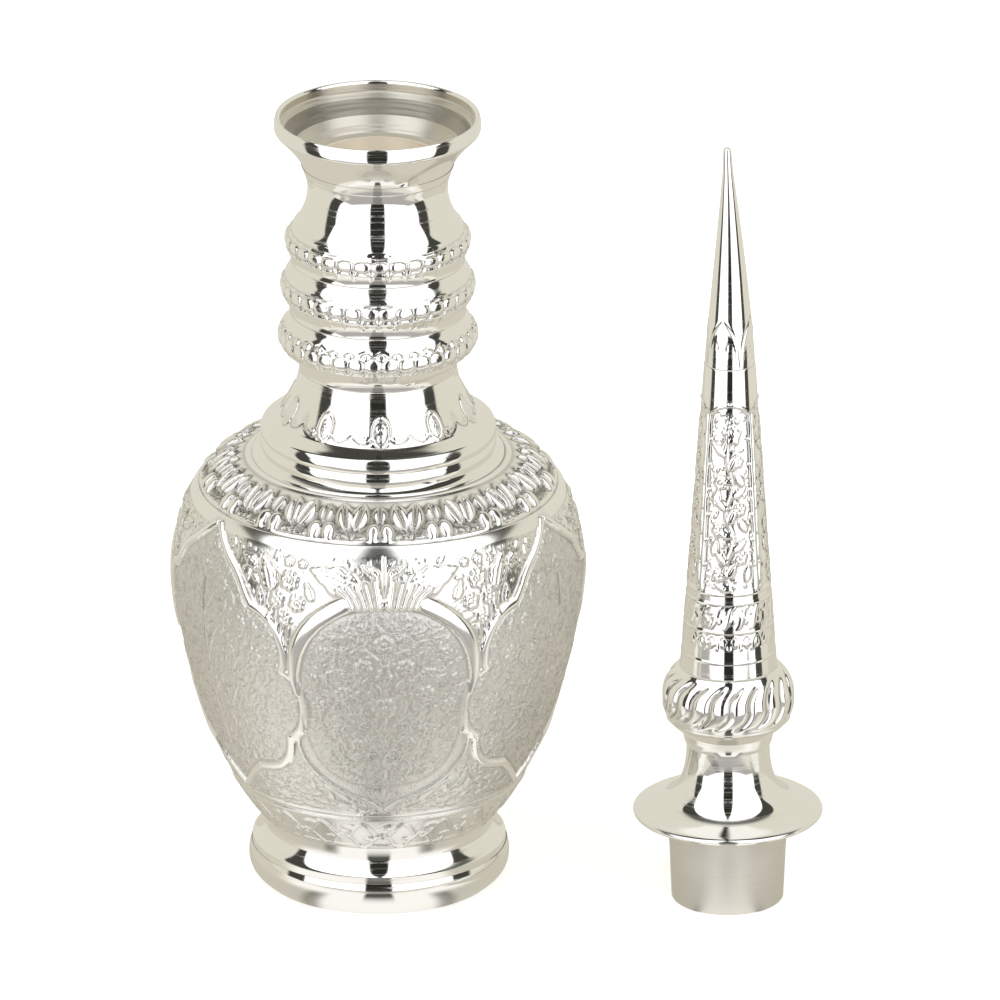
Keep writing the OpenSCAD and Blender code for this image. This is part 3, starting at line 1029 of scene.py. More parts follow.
@dataclass
class Body(Rings):
    """Bowl and shoulder, which carry most of the chasing."""

    foot: Point = (29.5, 17.8)
    belly: Point = (51.5, 82.6)
    ridge: Point = (45.0, 105.4)
    land: Point = (31.5, 113.0)
    bore_r: float = 26.5
    band_z: float = 29.4
    lozenges: int = 21
    leaf_pairs: int = 18
    medallions: int = 3
    middle: float = 2.0
    step: float = 0.33

    def outline(self) -> Line:
        """The bowl from its foot to the ridge."""
        return joined(
            curve(self.foot, self.belly, (0.61, 0.23), (0, 0.25), 120),
            curve(self.belly, self.ridge, (0, 0.32), (0.65, 0.15), 72),
        )

    def build(self) -> None:
        """Makes the band, the three chased sectors and the shoulder."""
        whole = self.outline()
        cut = next(i for i, p in enumerate(whole) if p[1] > self.band_z)
        band = whole[:cut + 1]
        self.chased("lozenge_band", ("body_bowl",), band, self.lozenges, self.middle - 0.3,
                    lambda relief: LozengeBand(relief).chase(), lining(band, self.sheet, 4),
                    CHASED)
        self._sectors(whole[cut:])
        slope = curve(self.ridge, self.land, (0.32, 0.63), (0.38, 0), 60)
        head = self.land[1]
        inner = [(self.bore_r, head), (self.bore_r, head - self.sheet)] \
            + lining(slope[:-1], self.sheet)
        self.chased("shoulder", ("shoulder_dome",), slope, self.leaf_pairs, self.middle - 1.0,
                    lambda relief: ShoulderLeaves(relief).chase(), inner, LEAFED)

    def _sectors(self, line: Line) -> None:
        """Three alike sectors, each with one medallion in its middle."""
        relief = Relief(line, self.medallions, self.middle, self.step)
        for ornament in (Medallion, Cartouche, Spandrel, LowerScrolls):
            ornament(relief).chase()
        relief.finish(relief.matt > 0.05, 0.07, 0.09, 0.28, 0.55)
        for i in range(self.medallions):
            Turned(f"bowl_sector_{i + 1}", self.item, relief.outline, lining(line, self.sheet),
                   CHASED, ("body_bowl",), relief.columns, relief.span,
                   self.middle + (i - 0.5) * relief.span, relief).build()


@dataclass
class Medallion:
    """The round field of flowers in its raised frame, with a keeled crescent below."""

    relief: Relief
    half: float = 24.5
    centre_z: float = 65.0
    rise: float = 25.2
    fullness: tuple[float, float] = (2.4, 3.0)

    def field(self) -> Line:
        """The edge of the round field, fuller than a circle at the shoulders."""
        edge = []
        for a in np.linspace(0, 2 * math.pi, 97)[:-1]:
            c, s = math.cos(a), math.sin(a)
            power = 2 / self.fullness[0 if s > 0 else 1]
            edge.append((self.half * math.copysign(abs(c) ** power, c),
                         self.centre_z + self.rise * math.copysign(abs(s) ** power, s)))
        return edge

    def chase(self) -> None:
        """Raises the frame, the ribs, the crescent and the flowers."""
        tube = [(25.9, 66.0), (26.4, 71.0), (25.6, 77.0), (23.4, 82.2), (19.8, 86.4), (15.2, 89.6),
                (10.6, 91.9)]
        keel = [(25.4, 60.0), (26.6, 54.0), (27.2, 50.0), (25.4, 45.6), (20.4, 40.8),
                (13.2, 37.0), (6.0, 34.6), (2.0, 32.4), (0.0, 31.2)]
        for side in (-1, 1):
            self.relief.wire(mirrored(smooth(tube, 8), side), (1.6, 2.6, 3.8, 4.4, 4.4, 4.2),
                             0.85)
            self.relief.wire(mirrored(smooth(keel, 6), side), (0.8, 1.0, 1.2, 1.2, 1.1), 0.5)
            self.relief.wire(mirrored([(25.9, 67), (25.3, 63), (25.4, 59)], side), (0.9, 0.8), 0.35)
        edge = self.field()
        self.relief.cut([*edge, edge[0]], 0.8, 0.20)
        self._flowers()
        self._ribs()

    def _ribs(self) -> None:
        """Shell ribs over the frame, parted by a plain V."""
        relief = self.relief
        for side in (-1, 1):
            for i in range(5):
                foot, head = 1.5 + 1.9 * i, 2.6 + 2.7 * i
                rib = [(foot, 90.8), (0.6 * foot + 0.4 * head, 93.6), (head, 97.2 - 0.5 * i)]
                relief.wire(mirrored(rib, side), (1.1, 1.7, 1.3), 0.95, 0.1)
            relief.wire(mirrored([(0.2, 91.6), (1.4, 95.2), (2.0, 98.4)], side), (1.0, 1.2), 0.7)
        for turn, z in ((-5.0, 37.0), (-2.6, 37.4), (0.0, 38.0), (2.6, 37.4), (5.0, 37.0)):
            relief.wire([(0.0, 33.4), (turn, z)], (0.5, 0.9), 0.3)
        relief.cut([(0.0, 97.0), (0.0, 103.0)], 0.8, 0.35)
        relief.cut([(-3.5, 98.4), (-4.5, 102.0)], 0.7, 0.3)

    def _flowers(self) -> None:
        """A bouquet that fans from one stalk, and small sprigs between."""
        relief = self.relief
        field = relief.inside(self.field())
        relief.matt[field] = 1.0
        relief.gain = 0.62
        leaf = Leaf(3.4, 1.1, 0.26, 0.4, 0.8)
        small = Leaf(2.4, 0.8, 0.20, 0.3, 0.7)
        relief.stem([(0, 42), (0, 52), (0, 62)], (0.9, 0.7), 0.26, leaf)
        relief.stem([(0, 66), (0, 73), (0, 79)], (0.7, 0.6), 0.22, small)
        relief.gain = 1.25
        relief.stamp(0, 63.5, Blossom(3.1, 6, 0.42))
        relief.stamp(0, 81.5, Blossom(2.6, 5, 0.38), 90)
        relief.stamp(0, 72.4, Blossom(2.2, 6, 0.34))
        relief.gain = 1.3
        for side in (-1, 1):
            for path, (turn, z, radius) in (
                ([(0, 45), (5, 48), (10, 47), (14, 50), (14, 54)], (13.6, 55.6, 1.9)),
                ([(0, 49), (6, 55), (13, 58), (18, 57), (19.5, 61)], (19.4, 63.0, 1.9)),
                ([(0, 55), (5, 60), (9, 62), (11.5, 65)], (12.0, 67.0, 2.1)),
                ([(0, 60), (4, 67), (7, 69), (6.5, 73)], (6.0, 75.0, 1.9)),
                ([(7, 70), (12, 74), (17, 73), (18, 76)], (17.6, 78.0, 1.8)),
                ([(0, 74), (4, 79), (8, 80), (10, 83)], (9.6, 84.4, 1.6)),
                ([(14, 62), (20, 68), (21, 72)], (20.6, 70.6, 1.4)),
                ([(4, 44), (9, 43), (12, 44)], (8.0, 52.6, 1.4)),
            ):
                relief.stem(mirrored(path, side), (0.8, 0.5), 0.20, small, 2.0)
                relief.stamp(side * turn, z, Blossom(1.25 * radius, 6, 0.36), 15 * side)
            relief.strew(((4.5, 58, 40), (9, 58, -30), (16.5, 68.5, 80), (14.5, 63, 150),
                          (10, 71, 60), (13.5, 81, 70), (5.5, 85.6, 20), (3.0, 48.5, 60)),
                         Curl(1.1, 1.1, 0.55, 0.28, side), side)
        relief.gain = 0.80
        relief.scatter(field, 500, (leaf, Leaf(4.6, 2.0, 0.36, 0.7, 0.9), small), self._outward)
        relief.gain = 0.36
        relief.scatter(field, 1300, (small, Leaf(3.0, 0.8, 0.2, 0.6, 0), Leaf(1.6, 0.7, 0.2)),
                       self._outward, 0.16)
        relief.scatter(field, 700, (Leaf(1.3, 0.5, 0.14, 0, 0),), self._outward, 0.25)
        relief.gain = 1.0

    @staticmethod
    def _outward(turn: float, z: float) -> float:
        """Which way a sprig points: away from the foot of the bouquet."""
        return math.degrees(math.atan2((z - 46.0) * 0.55, turn * 1.1))


@dataclass
class Cartouche:
    """The lobed panel between two medallions, half on each edge of the repeat."""

    relief: Relief

    def half(self) -> Line:
        """Half of the panel's edge, from its upper tip to its lower one."""
        cusps = (
            [(0, 102.5), (8, 96.8), (13, 93.4), (16.5, 89.3), (19, 86.5)],
            [(19, 86.5), (23.5, 85.2), (26.8, 82.2), (28.8, 77.6), (28.8, 73.6), (28, 71)],
            [(28, 71), (31.2, 69.4), (33.6, 66), (34.3, 62), (33.6, 58), (31.6, 54.8), (28.5, 53)],
            [(28.5, 53), (27.9, 49.8), (26.3, 46.6), (23.2, 44.2), (19, 43), (14, 42.2)],
            [(14, 42.2), (8, 38.6), (0, 33.4)],
        )
        return joined(*(smooth(c, 6) for c in cusps))

    def chase(self) -> None:
        """Raises the border and the plants in the panel."""
        relief = self.relief
        half = self.half()
        rim = [(t + 1.6 * self._lean(half, i)[0], z + 1.4 * self._lean(half, i)[1])
               for i, (t, z) in enumerate(half)]
        for side in (-1, 1):
            relief.wire(mirrored(rim, side, -60.0 * side), (1.8, 2.8, 2.8, 2.8, 1.8), 0.5)
            relief.cut(mirrored(half, side, -60.0 * side), 0.8, 0.30)
        relief.gain = 0.7
        self._plants(half)
        relief.gain = 1.0

    @staticmethod
    def _lean(line: Line, i: int) -> Point:
        """The way out of the panel at a point of its edge."""
        a, b = line[max(i - 1, 0)], line[min(i + 1, len(line) - 1)]
        dx, dz = b[0] - a[0], b[1] - a[1]
        size = math.hypot(dx, dz) or 1.0
        return (-dz / size, dx / size)

    def _plants(self, half: Line) -> None:
        """Low flowers on a tall stalk."""
        relief = self.relief
        left, right = (
            relief.inside(mirrored(half, side, edge) + [(edge - side, 33), (edge - side, 103)])
            for edge, side in ((-60, 1), (60, -1)))
        field = left | right
        relief.matt[field] = np.maximum(relief.matt[field], 0.8)
        leaf = Leaf(4.2, 1.8, 0.34, 0.6, 0.8, 3)
        small = Leaf(2.2, 0.9, 0.24, 0.2, 0.7)
        for edge, side in ((-60, 1), (60, -1)):
            relief.stem([(edge, 40), (edge, 55), (edge, 70), (edge, 90)], (1.0, 0.6), 0.28)
            for path, (turn, z, radius) in (
                ([(0, 45), (7, 48), (14, 47), (20, 49)], (21.0, 49.2, 2.2)),
                ([(0, 50), (8, 56), (17, 57), (24, 60)], (26.0, 61.4, 3.0)),
                ([(0, 58), (7, 66), (14, 68), (19, 72)], (20.0, 74.0, 2.8)),
                ([(0, 68), (5, 77), (10, 80), (14, 81)], (15.6, 82.0, 2.1)),
                ([(0, 80), (4, 86), (7, 89)], (8.0, 90.6, 1.9)),
                ([(8, 57), (12, 63), (16, 64)], (11.0, 73.6, 2.0)),
            ):
                relief.stem(mirrored(path, side, edge), (0.9, 0.5), 0.24, small, 2.2)
                relief.stamp(edge + side * turn, z, Blossom(radius, 7, 0.45))
            relief.strew(((5, 52, 50), (12, 52, -20), (20, 66, 60), (9, 83, 70), (25, 68, 100),
                          (22, 80, 110), (5, 62, 80), (16, 60.5, 40), (13, 86, 100)),
                         leaf, side, edge)
        for z, radius, petals, lift in ((62, 3.2, 8, 0.5), (78, 2.6, 7, 0.45), (93, 2.0, 6, 0.4)):
            relief.stamp(60, z, Blossom(radius, petals, lift))
        relief.scatter(field, 1500, (small, Leaf(3.4, 1.3, 0.26, 0.5, 0.7), Leaf(1.6, 0.8, 0.2),
                                     Curl(0.9, 1.0, 0.5, 0.22)), self._fan)
        relief.scatter(field, 700, (Leaf(1.2, 0.5, 0.14, 0, 0),), self._fan, 0.25)

    @staticmethod
    def _fan(turn: float, z: float) -> float:
        """Which way a sprig points: up and away from the stalk."""
        away = turn + 60 if turn < 0 else turn - 60
        return math.degrees(math.atan2(1.0, 0.11 * away))


@dataclass
class Spandrel:
    """Flowers and broad leaves between the frames, under the plain fillet."""

    relief: Relief
    top: float = 102.6

    def chase(self) -> None:
        """Raises the leaves and the flowers on both sides."""
        relief = self.relief
        free = (relief.cover < 0.5) & (relief.matt < 0.05)
        region = free & (relief.z[:, None] > 76.0) & relief.inside(
            [(-60, self.top), (60, self.top), (40, 86), (29, 70), (-29, 70), (-40, 86)])
        region &= ~relief.inside(Medallion(relief).field())
        for side in (-1, 1):
            self._side(side)
        relief.matt[region] = 0.10
        relief.scatter(region, 160, (Leaf(3.0, 1.5, 0.26, 0.3, 0.8, 0, 0.8, 2),
                                     Blossom(1.5, 5, 0.26)), None, 0.02)
        relief.scatter(region, 420, (Boss(0.42, 0.06, 0.08), Leaf(1.6, 0.7, 0.10, 0.2, 0)), None,
                       0.04)

    def _side(self, side: int) -> None:
        """One half of the spandrel."""
        relief = self.relief
        for turn, z, length, width, bend, way, folds in (
            (6.2, 95.4, 14.5, 8.2, 1.6, 12, 5),
            (33.6, 92.6, 9.4, 6.0, -1.2, 74, 4),
            (20.6, 91.6, 5.6, 2.6, 0.6, 60, 2),
            (38.6, 97.4, 6.6, 3.4, 0.4, 22, 3),
            (36.4, 88.4, 5.0, 2.0, 0.6, 70, 2),
            (33.8, 85.2, 4.6, 1.9, 0.5, 100, 2),
            (1.2, 99.0, 5.4, 2.2, 0.3, 24, 2),
        ):
            leaf = Leaf(length, width, 0.62, side * bend, 1.0, 3, 0.7, folds)
            relief.stamp(side * turn, z, leaf, sided(way, side))
        for turn, z, radius, petals in ((28.2, 96.0, 2.8, 7), (25.4, 90.6, 2.3, 6),
                                        (31.6, 90.8, 2.3, 6), (28.8, 86.2, 1.9, 6),
                                        (29.0, 100.6, 1.5, 5), (24.6, 100.4, 1.3, 5)):
            relief.stamp(side * turn, z, Blossom(radius, petals, 0.62), 20)
        for turn, foot, head in ((28.0, 79.4, 84.4), (29.6, 79.6, 85.0), (31.0, 82.0, 88.4)):
            relief.stem([(side * turn, foot), (side * (turn - 0.6), head)], (0.8, 0.6), 0.35)


@dataclass
class LowerScrolls:
    """Running leaf scrolls between the crescents and the lozenge band."""

    relief: Relief

    def chase(self) -> None:
        """Raises a scroll on each side of the keel."""
        relief = self.relief
        free = (relief.cover < 0.5) & (relief.matt < 0.05) & (relief.z[:, None] < 54.0)
        right = [(13.2, 37), (20.4, 40.8), (25.6, 45.6), (27, 54)]
        keel = relief.inside([*reversed(mirrored(right, -1)), (0, 31.4), *right])
        region = free & ~keel & (relief.z[:, None] > 30.4)
        plain = keel & (relief.matt < 0.05)
        relief.matt[region] = 0.7
        for side in (-1, 1):
            path = [(6, 31.6), (14, 33.4), (22, 36.0), (29, 40.0), (33, 38.0), (42, 35.0),
                    (52, 33.0)]
            relief.stem(mirrored(path, side), (0.9, 0.8), 0.3, Leaf(3.4, 1.5, 0.34, 0.5, 0.8), 2.6)
            relief.strew(((12, 34.6, 30), (19, 33.2, 8), (27, 35.4, 20), (34, 41.2, 40),
                          (38, 37.6, -10), (24, 31.8, 0), (45, 33.6, -6), (36, 33.0, 10)),
                         Leaf(5.6, 2.2, 0.38, 0.7 * side, 0.9, 2), side)
        relief.scatter(region, 900, (Leaf(2.4, 1.0, 0.24, 0.2, 0.7), Boss(0.4, 0.15)), self._level)
        relief.matt[plain] = 0.9
        relief.matt = relief.soften(relief.matt, 0.35)

    @staticmethod
    def _level(turn: float, z: float) -> float:
        """Leaves run outwards from the keel."""
        return 10.0 if turn > 0 else 170.0


@dataclass
class LozengeBand:
    """Two rows of dished ovals with a raised zigzag between them."""

    relief: Relief
    upper_z: float = 25.6
    lower_z: float = 21.5
    foot_z: float = 19.0

    def chase(self) -> None:
        """Raises the zigzag and the lines above and below."""
        relief = self.relief
        half = relief.span / 2
        right = [(0.3 * half, 26.6), (0.75 * half, 23.4), (half, 22.4)]
        zigzag = smooth([*reversed(mirrored(right, -1)), (0, 27.4), *right], 5)
        relief.wire([(t, 49.2 - z) for t, z in zigzag], (0.9,), 0.34)
        relief.wire([(t, z - 4.4) for t, z in zigzag], (0.8,), 0.28)
        relief.round_wire(28.3, 1.1, 0.42)
        relief.round_wire(self.foot_z, 0.8, 0.25)
        relief.cut([(-half, 29.2), (0, 29.2), (half, 29.2)], 0.7, 0.25)
        relief.stamp(0, self.upper_z, Leaf(4.6, 2.4, 0.22, 0, 0, 0, 1.0, 2))
        relief.stamp(half, self.lower_z, Leaf(4.0, 2.2, 0.22, 0, 0, 0, 1.0, 2))
        relief.matt[:] = 0.45
        relief.matt[relief.z < self.foot_z] = 0.15
        relief.finish(relief.matt > 0.3, 0.10, 0.06, 0.12, 0.35)


@dataclass
class ShoulderLeaves:
    """Pairs of leaves over small two-lobed buds, on a ring-punched ground."""

    relief: Relief

    def chase(self) -> None:
        """Raises one leaf pair and one bud in each repeat."""
        relief = self.relief
        half = relief.span / 2
        for side in (-1, 1):
            relief.stamp(side * 2.4, self._z(3.4), Oval(5.4, 3.6, 1.2), 90 + side * 4)
            relief.stamp(side * (half - 1.2), self._z(3.4),
                         Leaf(9.4, 5.2, 1.4, -side * 1.0, 0, 0, 0.85, 0), 90 + side * 17)
            relief.cut([(side * (half - 1.6), self._z(5.0)), (side * (half - 3.4), self._z(10.4))],
                       0.8, 0.35)
        relief.stamp(0, self._z(5.4), Leaf(6.4, 4.4, 1.1, 0, 0, 0, 0.9, 0), 90)
        relief.cut([(0, self._z(6.6)), (0, self._z(10.6))], 0.7, 0.3)
        relief.stamp(half, self._z(9.2), Oval(3.0, 1.8, 0.6), 90)
        up = np.broadcast_to(relief.along[:, None], relief.height.shape)
        ground = (up > 1.0) & (up < 14.2)
        relief.matt[:] = 0.10 * ground
        relief.scatter(ground & (up < 4.2), 500, (Boss(0.55, 0.26, 0.22),), None, 0.1)
        relief.round_wire(self._z(0.9), 0.9, 0.3)
        relief.finish(ground, 0.22, 0.16, 0.20, 0.8)
        # Painted shade: in the leaf band everything below the crests is darkened, so that only the
        # crests stay bright.
        leafy = np.clip((up - 1.6) / 1.5, 0, 1) * np.clip((12.0 - up) / 2.0, 0, 1)
        hollow = np.clip((0.75 - relief.height) / 0.6, 0, 1) * leafy
        relief.sunk = np.maximum(relief.sunk, 0.85 * relief.soften(hollow, 0.25))

    def _z(self, up: float) -> float:
        """The height of a place so many mm up the slope from the ridge."""
        return float(np.interp(up, self.relief.along, self.relief.z))


# ---------------------------------------------------------------- neck


@dataclass
class Neck(Rings):
    """Seat ring, bead, bell, three hollow rings, plain neck and lip collar."""

    bore_r: float = 26.5
    seat_r: float = 31.0
    land_z: float = 113.0
    bead_z: float = 114.5
    bell_z: float = 118.1
    lower_z: float = 136.1
    middle_z: float = 151.1
    upper_z: float = 164.6
    neck_z: float = 174.0
    lip_z: float = 187.6
    dish_z: float = 190.1
    lip_bore: float = 15.95
    swags: int = 10
    middle: float = 2.0

    def build(self) -> None:
        """Makes each ring of the neck from the shoulder up."""
        seat = [(self.seat_r + 0.5, self.land_z)] + arc(
            (self.seat_r + 0.2, self.land_z + 0.3), 0.3, 0.3, 0, 70, 5) \
            + [(29.1, self.bead_z - 0.15), (29.0, self.bead_z)]
        self.ring("neck_seat", "neck_seat_ring", seat, bored(self.bore_r, seat))
        bead = moulding(29.0, self.bead_z, 3.6, 0.45)
        self.ring("neck_bead", "bell_bead", bead, bored(self.bore_r, bead))
        self._bell()
        self._rings()
        waist = (17.5, 183.6)
        line = joined(curve((21.2, self.neck_z), waist, (0.44, 0.16), (0, 0.42), 34),
                      curve(waist, (18.15, self.lip_z), (0, 0.50), (0.46, 0.34), 14))
        self.ring("neck_plain", "plain_neck", line)
        lip = [(18.05, self.lip_z)] + curve((18.35, self.lip_z + 0.25), (19.1, self.dish_z),
                                            (0.24, 0.36), (0.34, 0.30), 8)
        self.ring("neck_lip", "lip_collar", lip, bored(self.lip_bore, lip), steps=192)

    def _bell(self) -> None:
        """The bell: a rolled rim, a steep ledge and a long hollow slope."""
        rim, edge, slope = (29.5, self.bell_z + 1.5), (28.9, self.bell_z + 3.5), (25.0, 123.5)
        line = joined(
            curve((29.0, self.bell_z), rim, (0.60, 0.20), (0, 0.50), 8),
            curve(rim, edge, (0, 0.40), (0.50, 0.30), 10),
            [edge, (27.6, 122.25), (26.3, 122.87), slope],
            curve((24.7, 123.9), (19.7, self.lower_z), (0.34, 0.22), (0.06, 0.40), 40),
        )
        self.chased("neck_bell_shell", ("neck_bell",), line, self.swags, self.middle,
                    lambda relief: BellSwags(relief).chase(), lining(line, self.sheet, 14))

    def _rings(self) -> None:
        """The three hollow rings, each with its row of ovals."""
        for name, node, low_r, peak_r, high_r, z, h, at, ovals in (
            ("neck_ring_low", "neck_ring_lower", 19.7, 24.85, 22.0, self.lower_z, 15.0, 0.58,
             RingOvals(36, -2.5, 145.0, 4.0, 139.6, True)),
            ("neck_ring_mid", "neck_ring_middle", 22.0, 24.2, 21.7, self.middle_z, 13.5, 0.52,
             RingOvals(34, -4.4, 158.5, 3.2, 153.8, False)),
            ("neck_ring_top", "neck_ring_upper", 21.7, 23.1, 21.2, self.upper_z, 9.4, 0.60,
             RingOvals(32, 1.8, 170.6, 2.9, 166.8, False)),
        ):
            peak = (peak_r, z + h * at)
            line = joined(curve((low_r, z), peak, (0.05, 0.60), (0, 0.50), 24),
                          curve(peak, (high_r, z + h), (0, 0.50), (0.15, 0.45), 24))
            self.chased(name, (node,), line, ovals.count, ovals.first, ovals.chase)


@dataclass
class BellSwags:
    """A palmette in each repeat with a thin swag on both sides."""

    relief: Relief
    palmette_z: float = 126.9

    def chase(self) -> None:
        """Raises the palmette, the swag line and its small rings."""
        relief = self.relief
        half = relief.span / 2
        relief.stamp(0, self.palmette_z, Oval(6.6, 4.6, 0.26), 90)
        ring = [(5.0 * math.sin(a), self.palmette_z + 3.0 * math.cos(a))
                for a in np.linspace(0, 2 * math.pi, 25)]
        relief.wire(ring, (0.6,), 0.22, 0.12)
        relief.stamp(0, self.palmette_z + 0.6, Blossom(1.2, 5, 0.5), 90)
        relief.stamp(0, self.palmette_z - 2.6, Leaf(2.6, 1.3, 0.5, 0, 0, 0, 0.8, 2), 90)
        for side in (-1, 1):
            relief.stamp(side * 0.8, self.palmette_z - 2.9, Leaf(1.8, 0.8, 0.36, 0, 0, 0, 0.8),
                         90 - side * 48)
            swag = smooth(mirrored([(4.6, 125.4), (7.0, 124.4), (10.5, 124.2), (14.5, 124.8),
                                    (half, 126.0)], side), 5)
            relief.cut(swag, 0.6, 0.20)
            relief.wire([(t, z + 0.45) for t, z in swag], (0.45,), 0.11)
            for turn, z in ((9.4, 125.6), (half - 1.5, 127.0)):
                relief.stamp(side * turn, z, Boss(0.55, 0.10, 0.2475))
        relief.stamp(half, 128.2, Boss(0.55, 0.10, 0.25))
        near = relief.soften(relief.cover, 0.4)
        relief.matt[:] = 0.25 * near
        relief.finish(near > 0.15, 0.0, 0.10, 0.0, 0.8)


@dataclass(frozen=True)
class RingOvals:
    """A row of ovals round a hollow ring, with tails below them."""

    count: int
    first: float
    middle_z: float
    tall: float
    tail_z: float
    leaves: bool

    def chase(self, relief: Relief) -> None:
        """Raises one oval and its trimmings in each repeat.

        Args:
            relief: The sheet of one repeat.
        """
        half = relief.span / 2
        wide = math.radians(relief.span) * float(relief.r.max())
        relief.stamp(0, self.middle_z, Oval(wide * 0.98, self.tall, 0.29))
        top = self.middle_z + self.tall / 2
        for side in (-1, 1):
            tail = [(half * 0.62, self.middle_z - self.tall * 0.52),
                    (half * 0.9, self.middle_z - self.tall * 0.9), (half * 0.98, self.tail_z)]
            relief.wire(mirrored(tail, side), (0.7, 0.5), 0.14)
        ends, crown, width, depth = (0.9, 0.7, 0.7, 0.30)
        if self.leaves:
            relief.stamp(half, top - 1.0, Leaf(2.4, 2.2, 0.20, 0, 0, 0, 1.2, 2), 90)
            ends, crown, width, depth = (1.3, 0.6, 0.6, 0.26)
        relief.cut([(-half, top + ends), (0, top + crown), (half, top + ends)], width, depth)
        z = np.broadcast_to(relief.z[:, None], relief.height.shape)
        ground = (z > self.middle_z - self.tall * 0.7) & (z < top + 0.8)
        relief.matt[:] = 0.2 * ground
        relief.finish(ground, 0.14, 0.16, 0.08, 0.35)


# ---------------------------------------------------------------- mouth


@dataclass
class Mouth(Rings):
    """Flared dish, rim with its ledge, and the throat sleeve inside."""

    dish_z: float = 190.1
    floor_z: float = 191.1
    rim_z: float = 198.5
    rim_r: float = 25.8
    mouth_z: float = 202.6
    ledge_z: float = 200.1
    ledge_out: float = 24.4
    ledge_in: float = 23.4
    throat_r: float = 15.1
    sleeve_r: float = 15.9
    sleeve_h: float = 14.5
    shade_z: float = 195.2

    def build(self) -> None:
        """Makes the dish, the rim and the sleeve."""
        outside = curve((18.9, self.dish_z), (25.2, self.rim_z), (0.22, 0.42), (0.25, 0.20), 30)
        inside = [p for p in lining(outside, self.sheet, 22)[1:-1]
                  if p[1] > self.floor_z + 0.05 and p[0] < self.ledge_in - 0.05]
        seat_r, under_z = self.sleeve_r + 0.05, self.floor_z - 0.5
        back = [(self.ledge_in + 0.5, self.rim_z), *((r + 0.5, z) for r, z in inside),
                (17.6, under_z), (seat_r, under_z), (seat_r, self.dish_z)]
        self.ring("mouth_dish_outside", "mouth_dish", outside, back)
        bowl = [(seat_r, self.floor_z), (17.3, self.floor_z), *reversed(inside),
                (self.ledge_in, self.rim_z)]
        low = [p for p in bowl if p[1] < self.shade_z]
        high = [low[-1]] + [p for p in bowl if p[1] >= self.shade_z]
        self.ring("mouth_dish_inside", "mouth_dish",
                  [(r + 0.45, z - (0.4 if z <= self.floor_z else 0.0)) for r, z in low],
                  low[::-1], INNER)
        self.ring("mouth_dish_shaded_ring", "mouth_dish", [(r + 0.45, z) for r, z in high],
                  high[::-1], SHADED)
        widest = (self.rim_r, self.rim_z + 0.34 * (self.mouth_z - self.rim_z))
        crest = (self.rim_r - 1.4 * 0.45, self.mouth_z)
        rim = joined(curve((25.2, self.rim_z), widest, (0.60, 0.20), (0, 0.50), 10),
                     curve(widest, crest, (0, 0.60), (0.50, 0), 12),
                     curve(crest, (self.ledge_out, self.mouth_z - 0.7), (0.60, 0), (0, 0.50), 8))
        behind = self.ledge_out + 0.4
        step_z, wall_z = self.ledge_z + 0.15, self.mouth_z - 1.0
        self.ring("mouth_rim", "rim_band", rim, [(behind, wall_z), (behind, self.rim_z)])
        self.ring("mouth_wall", "rim_band", [(behind, step_z), (behind, wall_z)],
                  [(self.ledge_out, wall_z + 0.3), (self.ledge_out, step_z)], SHADED_WALL)
        self.ring("mouth_ledge", "rim_band", [(behind, self.rim_z), (behind, step_z)],
                  [(self.ledge_out, step_z), (self.ledge_out - 0.2, self.ledge_z),
                   (self.ledge_in + 0.25, self.ledge_z), (self.ledge_in, self.ledge_z - 0.25),
                   (self.ledge_in, self.rim_z)], INNER)
        sleeve = [(self.sleeve_r, self.floor_z - self.sleeve_h), (self.sleeve_r, self.floor_z)]
        self.ring("throat", "throat_sleeve", sleeve, bored(self.throat_r, sleeve), THROAT, 192)


# ---------------------------------------------------------------- stopper


